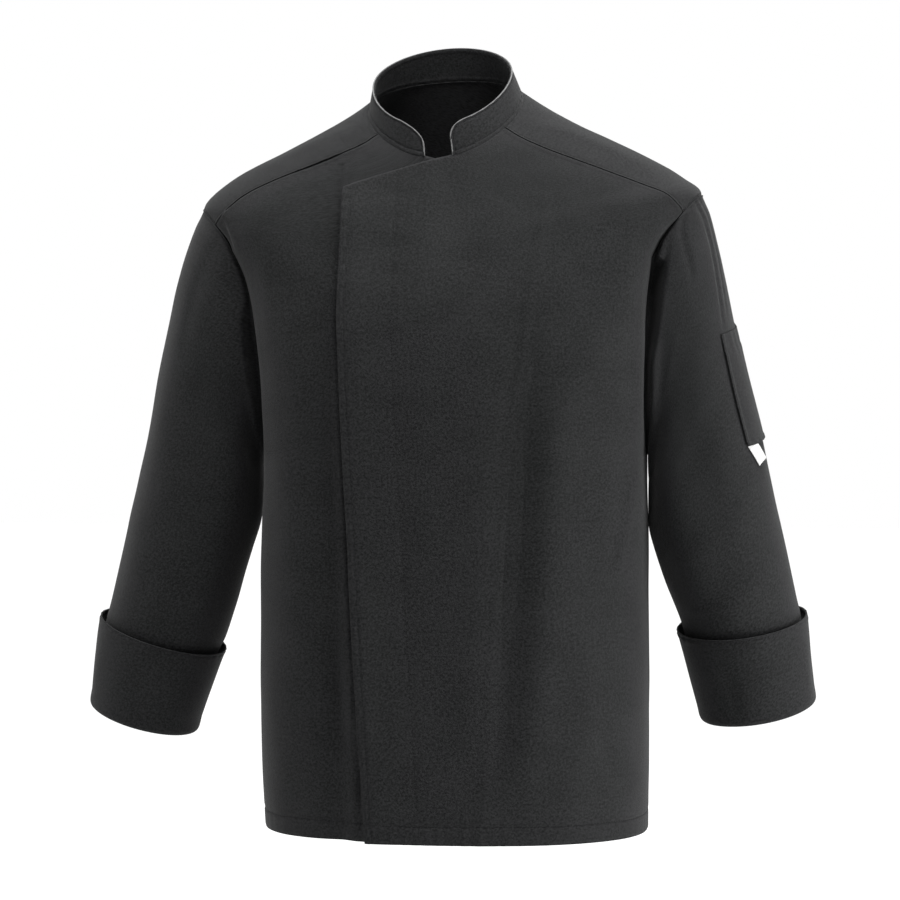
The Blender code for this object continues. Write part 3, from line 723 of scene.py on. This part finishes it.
# ----------------------------------------
# Fronts: the wearer's right front lies under and the left one laps over it. The lap's edge and
# slanting top are turned in and topstitched, and a second line of stitches holds the placket
# that hides the closure. A faint pressed line runs down the middle of the left front.

LAP_STEP = 0.0026
NECK_GAP_TURN = 0.06
LAP_EDGE_HEM = 0.072
LAP_EDGE_TOP = 0.0985
LAP_CORNER_Z = -0.0862
LAP_CORNER_BEND = 0.85
LAP_STRAIGHT_RISE = 0.51
LAP_COLUMNS = 5
NECK_COLUMNS = 4
FRONT_COLUMNS = LAP_COLUMNS + NECK_COLUMNS
FRONT_ROWS = SIDE_ROWS + FRONT_SEAM_STEP
FRONT_LAST_ROW = FRONT_ROWS + SHOULDER_COLUMNS
LAP_ROW = 0.0065
LAP_ROW_END = 0.32


def halved(low, high, short_of, times=26):
    """The place between low and high up to which short_of holds, found by halving."""
    for _ in range(times):
        middle = (low + high) / 2
        if short_of(middle):
            low = middle
        else:
            high = middle
    return (low + high) / 2


@lru_cache(maxsize=None)
def turn_at(x, rise):
    """The turn, in front, at which the body form has this x."""
    return halved(-0.45, 0.45, lambda turn: on_body(turn, rise).x < x)


def rise_at(x, z):
    """The rise, in front, at which the body form has this x and z."""
    return halved(UNDERARM_RISE, NECK_RISE, lambda rise: on_body(turn_at(x, rise), rise).z < z)


def lap_out(side, turn):
    """How far a front lies off the body form: the left one over it, the right one under."""
    over = ease((NECK_GAP_TURN - turn) / (2 * NECK_GAP_TURN))
    return LAP_STEP * over if side > 0 else -LAP_STEP * (1 - over)


def off_body(turn, rise, out):
    """A point of the body form, moved out along the form's normal."""
    point = on_body(turn, rise)
    if not out:
        return point
    step = 0.002
    along = on_body(turn + step, rise) - on_body(turn - step, rise)
    up = on_body(turn, min(rise + step, NECK_RISE)) - on_body(turn, rise - step)
    return point + along.cross(up).normalized() * out


@lru_cache(maxsize=None)
def front_top(side, i):
    """(turn, rise) along a front's top edge: the lap's slant, then the neck."""
    if i < LAP_COLUMNS:
        part = i / LAP_COLUMNS
        neck = on_body(side * NECK_GAP_TURN, NECK_RISE)
        x = -side * LAP_EDGE_TOP * (1 - part) + neck.x * part
        z = LAP_CORNER_Z + (neck.z - LAP_CORNER_Z) * part**LAP_CORNER_BEND
        rise = rise_at(x, z)
        return side * turn_at(x, rise), rise
    part = (i - LAP_COLUMNS) / NECK_COLUMNS
    return NECK_GAP_TURN + (YOKE_NECK_TURN - NECK_GAP_TURN) * part, NECK_RISE


@lru_cache(maxsize=None)
def front_outer(j):
    """(turn, rise) along a front's outer edge: the side seam, the armhole, then the yoke."""
    if j <= FRONT_ROWS:
        return side_edge(j, True)
    return yoke_seam(1 - (j - FRONT_ROWS) / SHOULDER_COLUMNS)


@lru_cache(maxsize=None)
def front_inner(side, j):
    """(turn, rise) along the lap's edge, from the hem to the corner of the slant."""
    corner_rise = front_top(side, 0)[1]
    rise = UNDERARM_RISE * j / SIDE_ROWS
    if j > SIDE_ROWS:
        part = (j - SIDE_ROWS) / (FRONT_LAST_ROW - SIDE_ROWS)
        rise = UNDERARM_RISE + (corner_rise - UNDERARM_RISE) * part
    upward = min(rise / LAP_STRAIGHT_RISE, 1.0)
    edge_x = LAP_EDGE_HEM + (LAP_EDGE_TOP - LAP_EDGE_HEM) * upward
    return side * turn_at(-side * edge_x, rise), rise


def front_place(side):
    """The form of a front. Across runs from the lap's edge out to the side, on the wearer's left,
    and in from the side on the right."""

    def place(i, j):
        if side < 0:
            i = FRONT_COLUMNS - i
        i = min(max(i, 0.0), float(FRONT_COLUMNS))
        part = i / FRONT_COLUMNS
        inner = Vector(front_inner(side, j))
        outer = Vector(front_outer(j))
        corner = Vector(front_top(side, 0.0))
        shoulder = Vector(front_top(side, float(FRONT_COLUMNS)))
        seat = inner + (outer - inner) * part
        upward = max((j - SIDE_ROWS) / (FRONT_LAST_ROW - SIDE_ROWS), 0.0)
        lift = Vector(front_top(side, i)) - corner - (shoulder - corner) * part
        turn, rise = seat + lift * upward**2
        return off_body(side * turn, rise, lap_out(side, side * turn))

    return place


LEFT_CREASES = [
    (100, -90, 52.5, -360, 37, -760, 4.5, 1, 0.4, 0.3),
    (86, -200, 70, -400, 56, -660, 20, -4.4, 0, 0.5),
    (200, -150, 118, -270, 100, -360, 22, 4.6, 0.2, 0.5),
    (104, -270, 112, -470, 70, -680, 22, 5.6, 0.1, 0.5),
    (20, -160, 30, -420, 22, -760, 30, 2.6, 0, 0.5),
    (175, -400, 160, -550, 150, -720, 22, -2.6),
    (-98, -50, -90, -430, -62, -840, 24, 4.8, 0, 0.5),
    (-84, -440, -79, -540, -73, -660, 16, 3.2),
    (199, -100, 184, -220, 172, -440, 12, -2.8, 0, 0.6),
    (-60, -300, -52, -480, -44, -720, 18, 1.6),
    (150, -120, 120, -190, 70, -235, 26, 2.2),
    (60, -100, 30, -150, -40, -175, 24, 1.8),
    (150, -600, 165, -650, 178, -670, 11, -1.6, 0.2),
    (184, -360, 176, -420, 168, -460, 4.5, 2),
]
RIGHT_CREASES = [
    (-109, -50, -103, -400, -93, -800, 16, -5.6, 0.2, 0.5),
    (-150, -180, -142, -400, -150, -620, 26, 3.6),
    (-180, -240, -150, -330, -120, -400, 18, -1.4, 0.3),
    (-150, -110, -125, -160, -110, -220, 20, 1.6),
    (-160, -520, -166, -620, -158, -760, 20, 2.6),
    (-222, -104, -214, -118, -206, -145, 3.6, 2.4, 0, 0.6),
    (-225.5, -112, -219.5, -125, -211, -144, 4.2, -2.6, 0, 0.8),
    (-129, -50, -119, -430, -101, -830, 19, -4.6, 0, 0.5),
    (-195, -130, -180, -240, -168, -440, 12, -2.8, 0, 0.6),
    (-102.4, -60, -102.2, -150, -101.8, -240, 2.6, -3, 0, 0.3),
    (-102.2, -210, -89, -470, -75.8, -740, 2.6, -3.6, 0, 0.2),
    (-112, -500, -104, -565, -100, -640, 9, -3),
]
LAP_EDGE = Edge(0.0003, 0.0003, LAP_ROW)
ROLLED_EDGE = Edge(0.0003, 0.0010, 0.0)

# The fold in front of each armhole, in millimetres and by height: how deep the seam lies in it,
# how far the seam is drawn aside, and how far the fold spreads over the body and the sleeve.
ASIDE_SPREAD = 0.020
FoldRow = namedtuple("FoldRow", "height deep aside body sleeve")
ARMHOLE_FOLD = {
    1: [
        (-345, 2, 0, 2, 3), (-290, 5, -1.5, 2, 5),
        (-250, 12, -2, 2, 7), (-235, 16, -2.2, 2, 8.5),
        (-205, 20, -3, 2, 10.5), (-170, 22, -5, 3, 11.5),
        (-157, 19, -6.5, 4, 10.5), (-151, 13, -7, 5.5, 4.5),
        (-135, 11, -5.5, 7, 2.4), (-122, 8, -2.5, 6.5, 2),
        (-111, 0, 0, 4, 2),
    ],
    -1: [
        (-345, 6, 0, 2, 6), (-300, 10, 0, 2, 8),
        (-250, 16, 0, 2, 11), (-215, 14, 0, 2, 10),
        (-195, 8, 0, 2, 4), (-170, 5, 0, 2, 3),
        (-150, 4, 0, 2, 2.5), (-130, 2, 0, 2, 2),
        (-120, 0, 0, 2, 2),
    ],
}
SEAM_POINTS = 100
PLACKET_WIDTH = 0.052
PLACKET_TOP = 0.985
PLACKET_SINK = 0.6
PLACKET_SPREAD = 1.3
PLACKET_WAVE = 0.0002
PLACKET_WAVE_LENGTH = 0.031
PLACKET_WAVE_SPREAD = 0.016
front_along = lines(
    [(SIDE_ROWS, 96, 0.037), (FRONT_ROWS, 72, 0.025), (FRONT_LAST_ROW, 48, 0.022)],
    HEM_LINES,
    FINE_LINES,
)
left_form = (
    front_place(1),
    lines([(FRONT_COLUMNS - 1, 78, 0.034), (FRONT_COLUMNS, 26, 0.034)], FINE_LINES, FINE_LINES),
    front_along,
)
right_spans = [(1, 26, 0.034), (2.7, 20, 0.034), (4.2, 44, 0.034), (FRONT_COLUMNS, 44, 0.034)]
right_form = (front_place(-1), lines(right_spans, FINE_LINES, FINE_LINES), front_along)


def placket_line():
    """The stitches that hold the placket, from under the lap's top edge down to the hem."""
    place = left_form[0]
    path = []
    for n in range(PATH_STEPS + 1):
        j = FRONT_LAST_ROW * PLACKET_TOP * (1 - n / PATH_STEPS)
        far = place(0.0, j).x + PLACKET_WIDTH
        path.append(place(halved(0.0, LAP_COLUMNS, lambda i: place(i, j).x < far, 18), j))
    return path


placket_path = placket_line()


def placket_relief(flat):
    """The placket's stitches sink into the cloth and pucker the strip beside them."""
    gap, length = edge_gap(flat, np.array([tuple(p) for p in placket_path]))
    sunk = np.exp(-((gap / (STITCH_SPREAD * PLACKET_SPREAD)) ** 2))
    wave = np.sin(length / PLACKET_WAVE_LENGTH * 2 * math.pi + 2.4 * np.sin(length * 13.0))
    wave *= 0.55 + 0.45 * np.sin(length * 7.3 + 1.0)
    wave *= np.exp(-((gap / PLACKET_WAVE_SPREAD) ** 2))
    return PLACKET_WAVE * wave - PLACKET_SINK * STITCH_SINK * sunk


def tucked(side, column):
    """Draws a panel's edge back into the fold at its armhole, by the fold's own table."""
    steps = np.linspace(0.0, FRONT_SEAM_STEP, SEAM_POINTS)
    seam = np.array([on_body(side * armhole(s)[0], armhole(s)[1]) for s in steps])
    fold = FoldRow(*np.array(ARMHOLE_FOLD[side]).T / 1000)

    def slide(flat):
        gap, _ = edge_gap(flat, seam)
        deep = np.interp(flat[:, 2], fold.height, fold.deep)
        wide = np.interp(flat[:, 2], fold.height, getattr(fold, column))
        aside = np.interp(flat[:, 2], fold.height, fold.aside)
        back_in = deep * np.exp(-((gap / wide) ** 4))
        aside = aside * np.exp(-((gap / ASIDE_SPREAD) ** 2))
        return np.stack([aside, back_in, np.zeros_like(back_in)], axis=1)

    return slide


front_left = cloth(
    "front_left",
    left_form,
    LEFT_CREASES,
    {"left": LAP_EDGE, "right": ROLLED_EDGE, "low": HEM, "high": UNDER_SEAM},
    extra=placket_relief,
    slide=tucked(1, "body"),
)
left_rows = [
    inset(left_form, "left", LAP_ROW),
    inset(left_form, "low", HEM_ROW),
    inset(left_form, "high", LAP_ROW, 0.0, LAP_ROW_END),
    placket_path,
]
left_thread = stitches(front_left, left_rows)

front_right = cloth(
    "front_right",
    right_form,
    RIGHT_CREASES,
    {"left": ROLLED_EDGE, "right": LAP_EDGE, "low": HEM, "high": UNDER_SEAM},
    slide=tucked(-1, "body"),
)
right_thread = stitches(front_right, [inset(right_form, "low", HEM_ROW)])

# ----------------------------------------
# Collar: a stiffened stand band of two layers of twill, sewn into the neckline, open in front
# with rounded ends. A fine pale cord is caught in its upper edge.

COLLAR_WALL = 0.0022
COLLAR_ROWS = 3
COLLAR_FOOT_SHARE = -0.05
COLLAR_ENDS = {1: (0.07, 0.55), -1: (0.13, 0.34)}
RIM = Ring(0, -0.024, 0.0265, 0.0625, 0.0685, 0.068, 0.069, 0.062, -0.0105, -0.012, 0.0045, 0, 0, 2)
COLLAR_TURN_UNITS = 40
FOOT_ROW = 0.0042


def collar_place(i, j):
    turn = NECK_GAP_TURN + (2 - 2 * NECK_GAP_TURN) * i / COLLAR_TURN_UNITS
    reach, least = COLLAR_ENDS[1 if turn < 1 else -1]
    from_end = min(turn, 2 - turn) - NECK_GAP_TURN
    round_off = 1 - min(max(from_end, 0.0) / reach, 1.0)
    height = least + (1 - least) * math.sqrt(1 - round_off**2)
    base = on_ring(body_ring(NECK_RISE), turn)
    rim = on_ring(RIM, turn)
    share = COLLAR_FOOT_SHARE + (1 - COLLAR_FOOT_SHARE) * j / COLLAR_ROWS
    return base + (rim - base) * height * share


COLLAR_EDGE = Edge(0.0002, 0.0, TOPSTITCH_ROW)
COLLAR_FOOT = Edge(0.0003, 0.0, FOOT_ROW)
collar_form = (
    collar_place,
    lines([(COLLAR_TURN_UNITS, 200, 0.0115)], FINE_LINES, FINE_LINES),
    lines([(COLLAR_ROWS, 27, 0.0125)]),
)
collar = cloth(
    "collar",
    collar_form,
    (),
    {"left": COLLAR_EDGE, "right": COLLAR_EDGE, "low": COLLAR_FOOT, "high": COLLAR_EDGE},
    wall=COLLAR_WALL,
    uneven=0.0005,
)
collar_rows = [inset(collar_form, "high", TOPSTITCH_ROW), inset(collar_form, "low", FOOT_ROW)]
collar_thread = stitches(collar, collar_rows)

CORD_RADIUS = 0.00065
CORD_SIDES = 8
CORD_END = 0.02
END_STEPS = 12
PALE_DARK = (0.045, 0.045, 0.045)
PALE_LIGHT = (0.075, 0.075, 0.075)
pale_cord = twill("pale_cord", PALE_DARK, PALE_LIGHT, sheen=0.1, bump=0.2)


def collar_rim(i, j):
    """A point on the outer side of the collar's edge."""
    spot = collar_place(i, j)
    beside = collar_place(i + 0.05, j) - collar_place(i - 0.05, j)
    up = collar_place(i, COLLAR_ROWS) - collar_place(i, 0)
    return spot + beside.cross(up).normalized() * (COLLAR_WALL / 2 - CORD_RADIUS * 0.5)


rim_path = [collar_rim(CORD_END, COLLAR_ROWS * n / END_STEPS) for n in range(END_STEPS)]
rim_path += [collar_rim(i, COLLAR_ROWS) for i in collar_form[1][1:-1]]
rim_path += [
    collar_rim(COLLAR_TURN_UNITS - CORD_END, COLLAR_ROWS * (1 - n / END_STEPS))
    for n in range(1, END_STEPS + 1)
]

# The cord is a small ring carried along the collar's edge, and closed at both ends.
cord = bmesh.new()
weave = cord.loops.layers.uv.new("weave")
rings = []
for k, point in enumerate(rim_path):
    ahead = rim_path[min(k + 1, len(rim_path) - 1)] - rim_path[max(k - 1, 0)]
    at = Matrix.Translation(point) @ ahead.to_track_quat("Z", "Y").to_matrix().to_4x4()
    made = bmesh.ops.create_circle(cord, segments=CORD_SIDES, radius=CORD_RADIUS, matrix=at)
    rings.append(made["verts"])
for first, second in zip(rings, rings[1:]):
    joined = dict.fromkeys(
        e for ring in (first, second) for v in ring for e in v.link_edges if e.other_vert(v) in ring
    )
    bmesh.ops.bridge_loops(cord, edges=list(joined))
for ring in (rings[0], rings[-1]):
    bmesh.ops.contextual_create(cord, geom=ring)
for face in cord.faces:
    for loop in face.loops:
        loop[weave].uv = (loop.vert.co.x + loop.vert.co.y, loop.vert.co.z)
bmesh.ops.recalc_face_normals(cord, faces=cord.faces)
collar_cord = finished("collar_piping", cord, pale_cord)

# ----------------------------------------
# Sleeves: set in at the armholes and sewn under the arm, wide and straight, with soft folds at
# the elbow and two pressed lines down the outside of the left one.

ArmRing = namedtuple("ArmRing", "place outer_x outer_z inner_x inner_z mid_y deep pitch")
LEFT_ARM = in_metres(ArmRing, range(1, 7), (
    (0, 247, -90, 191, -345, 2, 66, 0),
    (0.35, 250, -97, 194.5, -346, 3, 66, 0),
    (1, 255, -110, 195, -351, 5, 66, 0),
    (2, 262, -140, 195, -366, 7, 66, 0.5),
    (3, 270, -176, 194.8, -386, 8, 67, 1),
    (4, 279, -218, 194.8, -403, 8, 67, 2),
    (5, 290, -265, 195.5, -420, 9, 67, 3),
    (6, 304, -320, 201.5, -443, 10, 67.5, 4),
    (7, 317, -380, 210.3, -468, 12, 67.5, 6),
    (8, 330, -438, 220, -492, 15, 66.3, 8),
    (9, 340.5, -486, 226.5, -509, 18, 63.7, 9),
    (10, 345.5, -508, 230, -522, 20, 60.8, 10),
    (11, 349.5, -545, 240, -562, 23, 56.7, 10),
    (12, 353.5, -577, 248.5, -595, 25, 53, 10),
))
RIGHT_ARM = in_metres(ArmRing, range(1, 7), (
    (0, 250, -102, 186, -345, 2, 66, 0),
    (0.35, 253.5, -108, 192, -346, 3, 66, 0),
    (1, 260.5, -120, 195, -351, 5, 66, 0),
    (2, 271, -146, 196, -366, 7, 66, 0.5),
    (3, 281, -180, 195.5, -386, 8, 67, 1),
    (4, 290, -220, 196.2, -403, 8, 67, 2),
    (5, 299.5, -265, 199, -420, 9, 67, 3),
    (6, 310, -320, 206.5, -443, 10, 66, 4),
    (7, 323, -380, 216, -472, 12, 65, 5),
    (8, 337, -438, 226, -505, 14, 63, 6),
    (9, 349, -488, 235.5, -533, 16, 61, 7),
    (10, 356.5, -517, 243.5, -549, 18, 59, 7),
    (11, 362, -553, 256.5, -585, 20, 56, 7),
    (12, 366, -585, 266.5, -614, 22, 53, 7),
))
ARM = {1: LEFT_ARM, -1: RIGHT_ARM}
SLEEVE_END = 12
SEAM_FADE = 2.5
STEP_WIDTH = 0.0155
PLACE_LENGTH = 0.042


def on_arm(side, step, place):
    """A point of a sleeve. Step is the armhole's seam point that it runs down from."""
    ring = between(ARM[side], place)
    outer = Vector((side * ring.outer_x, ring.mid_y, ring.outer_z))
    inner = Vector((side * ring.inner_x, ring.mid_y, ring.inner_z))
    pitch = math.radians(ring.pitch)
    ahead = Vector((0.0, -math.cos(pitch), -math.sin(pitch))) * ring.deep
    angle = math.pi - 2 * math.pi * step / ARM_STEPS
    point = (outer + inner) / 2 + (outer - inner) / 2 * math.cos(angle) + ahead * math.sin(angle)
    if place < SEAM_FADE:
        first = ARM[side][0]
        top = Vector((side * first.outer_x, first.mid_y, first.outer_z))
        low = Vector((side * first.inner_x, first.mid_y, first.inner_z))
        oval = (top + low) / 2 + (top - low) / 2 * math.cos(angle)
        oval.y -= first.deep * math.sin(angle)
        turn, rise = armhole(step % ARM_STEPS)
        point += (on_body(side * turn, rise) - oval) * (1 - place / SEAM_FADE) ** 2
    return point


def outward(side, i):
    """The armhole's step at a line across, in the order that turns the cloth outward."""
    return ARM_STEPS - i if side > 0 else i


def sleeve_place(side):
    """The form of a sleeve."""
    return lambda i, j: on_arm(side, outward(side, i), j)


def round_arm(side):
    """Creases are drawn round the arm from the underarm seam, and along the panel's own lines."""
    return lambda across, along: np.meshgrid(
        outward(side, across) * STEP_WIDTH, along * PLACE_LENGTH
    )


SLEEVE_CREASES = {
    1: [
        (188, -10, 190, 60, 174, 155, 2.2, 1.6, 0.3, 0.4),
        (194, -10, 206, 60, 186, 150, 2.2, 1.5, -0.3, 0.4),
        (172, 4, 156, 20, 148, 60, 3.4, 2.2, 0.3, 0.4),
        (150, 8, 136, 22, 100, 16, 4, 2, 0.2, 0.6),
        (110, 4, 66, 12, 30, 110, 14, -6, 0, 0.4),
        (100, 60, 105, 180, 120, 340, 22, 3),
        (60, 50, 62, 200, 75, 360, 22, -4),
        (40, 270, 95, 300, 150, 285, 14, -1.8, 0.3),
        (45, 345, 90, 365, 140, 350, 12, -1.6, 0.3),
        (250, 100, 262, 250, 250, 420, 24, 2.6),
        (300, 50, 310, 200, 295, 380, 20, -2.8, 0.2),
        (350, 200, 300, 250, 250, 235, 14, -1.8, 0.2),
        (370, 300, 320, 335, 260, 320, 13, -1.8, 0.2),
    ],
    -1: [
        (160, -20, 152, 60, 150, 160, 10, 1.6, 0.2),
        (110, 0, 112, 180, 128, 360, 24, 2.8),
        (62, 40, 60, 200, 72, 400, 22, -3.8),
        (40, 240, 90, 275, 150, 270, 15, -1.6, 0.3),
        (45, 330, 85, 352, 130, 345, 13, -1.6, 0.3),
        (185, 100, 190, 260, 180, 440, 22, 1.6),
        (255, 80, 262, 250, 250, 420, 24, 2.6),
        (305, 50, 300, 220, 310, 400, 20, -2.8, 0.2),
        (355, 180, 310, 230, 255, 225, 14, -1.8, 0.2),
        (365, 310, 320, 340, 265, 330, 13, -1.8, 0.2),
    ],
}
SLEEVE_HEAD = Edge(0.0, 0.0012, 0.0)
SIDES = {1: "left", -1: "right"}
sleeve_across = lines([(ARM_STEPS, 168, STEP_WIDTH)])
sleeve_along = lines([(0.8, 24, PLACE_LENGTH), (SLEEVE_END, 134, PLACE_LENGTH)], FINE_LINES[:3])
for side, side_name in SIDES.items():
    sleeve = cloth(
        f"sleeve_{side_name}",
        (sleeve_place(side), sleeve_across, sleeve_along[::-1]),
        SLEEVE_CREASES[side],
        {"high": SLEEVE_HEAD},
        closed=True,
        frame_of=round_arm(side),
        slide=tucked(side, "sleeve"),
    )

# ----------------------------------------
# Cuffs: the end of each sleeve is faced with the same twill and turned back up in a deep cuff,
# which stands a little off the sleeve. Its rim is sewn close to the edge.

CUFF_WALL = 0.0016
CuffRow = namedtuple("CuffRow", "row down out")
CUFF = in_metres(CuffRow, range(1, 3), (
    (0, 0, 0), (1, 8, 0.1), (2, 12, 0.6), (3, 14.5, 2.7), (4, 12, 4.8),
    (5, 4, 5.4), (6, -22, 5.8), (7, -47, 6.2), (8, -70, 6.6),
))
CUFF_LAST = 8
CUFF_RIM_ROW = 0.004


def off_arm(side, step, place, out):
    """A point of a sleeve, moved out along its normal."""
    round_step = on_arm(side, step + 0.1, place) - on_arm(side, step - 0.1, place)
    down_step = on_arm(side, step, place) - on_arm(side, step, place - 0.05)
    return on_arm(side, step, place) + down_step.cross(round_step).normalized() * side * out


def cuff_place(side):
    """The form of a cuff: its rows follow the way down the arm at the end of the sleeve."""
    high, low = ARM[side][-2:]
    across = side * (low.outer_x + low.inner_x - high.outer_x - high.inner_x) / 2
    drop = (low.outer_z + low.inner_z - high.outer_z - high.inner_z) / 2
    way = Vector((across, low.mid_y - high.mid_y, drop))

    def place(i, j):
        row = between(CUFF, j)
        spot = SLEEVE_END + min(row.down, 0.0) / way.length
        below = way.normalized() * max(row.down, 0.0)
        return off_arm(side, outward(side, i), spot, row.out) + below

    return place


CUFF_CREASES = {
    1: [
        (85, 190, 88, 240, 80, 310, 10, 1.2),
        (190, 190, 185, 240, 195, 310, 14, -1.2),
        (290, 190, 296, 250, 286, 310, 14, 1.2),
    ],
    -1: [
        (105, 190, 100, 240, 108, 310, 12, 1.2),
        (180, 190, 184, 240, 176, 310, 14, -1),
        (300, 190, 296, 250, 306, 310, 14, 1.2),
    ],
}
CUFF_RIM = Edge(0.0003, 0.0002, CUFF_RIM_ROW)
cuff_along = lines([(CUFF_LAST, 64, 0.025)], (), FINE_LINES[:6])
for side, side_name in SIDES.items():
    cuff_form = (cuff_place(side), sleeve_across, cuff_along)
    cuff = cloth(
        f"cuff_{side_name}",
        cuff_form,
        CUFF_CREASES[side],
        {"high": CUFF_RIM},
        closed=True,
        frame_of=round_arm(side),
        wall=CUFF_WALL,
        uneven=0.0005,
    )
    cuff_thread = stitches(cuff, [inset(cuff_form, "high", CUFF_RIM_ROW)])

# ----------------------------------------
# Pen pocket: a narrow patch of twill on the wearer's left upper sleeve, hemmed at its open top
# and sewn down along its other edges.

POCKET_WALL = 0.0011
POCKET_FRONT_STEP = 10.7
POCKET_BACK_STEP = 15.2
POCKET_TOP = 3.6
POCKET_BOTTOM = 5.95
POCKET_SLANT = 0.148
POCKET_BEND = 0.026
POCKET_STAND = 0.0022
POCKET_UNITS = 5


def on_pocket(across, down, out):
    """A point over the left sleeve, by shares across the pocket and down it."""
    steps = (POCKET_BACK_STEP - POCKET_FRONT_STEP) * across
    slant = (POCKET_SLANT - POCKET_BEND * steps) * steps * (2 - down)
    place = POCKET_TOP + (POCKET_BOTTOM - POCKET_TOP) * down + slant
    return off_arm(1, POCKET_FRONT_STEP + steps, place, out)


def pocket_place(i, j):
    return on_pocket(1 - i / POCKET_UNITS, 1 - j / POCKET_UNITS, POCKET_STAND)


POCKET_EDGE = Edge(0.0, 0.0009, TOPSTITCH_ROW)
POCKET_HEM = Edge(0.0008, 0.0, HEM_ROW)
pocket_form = (
    pocket_place,
    lines([(POCKET_UNITS, 30, 0.014)], FINE_LINES[:4], FINE_LINES[:4]),
    lines([(POCKET_UNITS, 50, 0.022)], FINE_LINES[:4], HEM_LINES),
)
pocket = cloth(
    "pen_pocket",
    pocket_form,
    (),
    {"left": POCKET_EDGE, "right": POCKET_EDGE, "low": POCKET_EDGE, "high": POCKET_HEM},
    wall=POCKET_WALL,
    uneven=0.0004,
)
pocket_rows = [inset(pocket_form, side, TOPSTITCH_ROW) for side in ("left", "right", "low")]
pocket_thread = stitches(pocket, pocket_rows + [inset(pocket_form, "high", HEM_ROW)])

# ----------------------------------------
# Label tab: a short end of pale woven tape, folded in two and left bare. Its ends are caught under
# the pocket's lower front corner when the pocket is sewn down, so that it hangs from there.

TAB_WALL = 0.0009
TAB_WIDTH = 0.0155
TAB_LENGTH = 0.0245
TAB_DROP = 0.0006
TAB_INSET = 0.0012
TAB_SLANT = 0.55
TAB_CUT = 0.26
TAB_STAND = 0.0022
TAB_UNITS = 2
TAPE_DARK = (0.20, 0.20, 0.196)
TAPE_LIGHT = (0.30, 0.30, 0.294)


def tab_place(i, j):
    corner = on_pocket(0.0, 1.0, TAB_STAND)
    down = (on_pocket(0.0, 1.1, TAB_STAND) - corner).normalized()
    across = on_pocket(0.1, 1.0, TAB_STAND) - on_pocket(-0.1, 1.0, TAB_STAND)
    across = (across - down * down.dot(across)).normalized()
    hang = (down + across * TAB_SLANT).normalized()
    out = across.cross(down).normalized()
    fall = 1 - j / TAB_UNITS
    aside = 1 - i / TAB_UNITS
    curl = 0.0014 * fall**2 + 0.0005 * math.sin(math.pi * aside)
    reach = TAB_DROP + TAB_LENGTH * (1 - TAB_CUT * aside) * fall
    return corner + hang * reach + across * (TAB_INSET + TAB_WIDTH * aside) + out * curl


pale_tape = twill("pale_tape", TAPE_DARK, TAPE_LIGHT, sheen=0.05, bump=0.3)
tab_lines = lines([(TAB_UNITS, 24, 0.0055)])
tab = cloth(
    "label_tab",
    (tab_place, tab_lines, tab_lines),
    wall=TAB_WALL,
    uneven=0.0,
    finish=pale_tape,
)
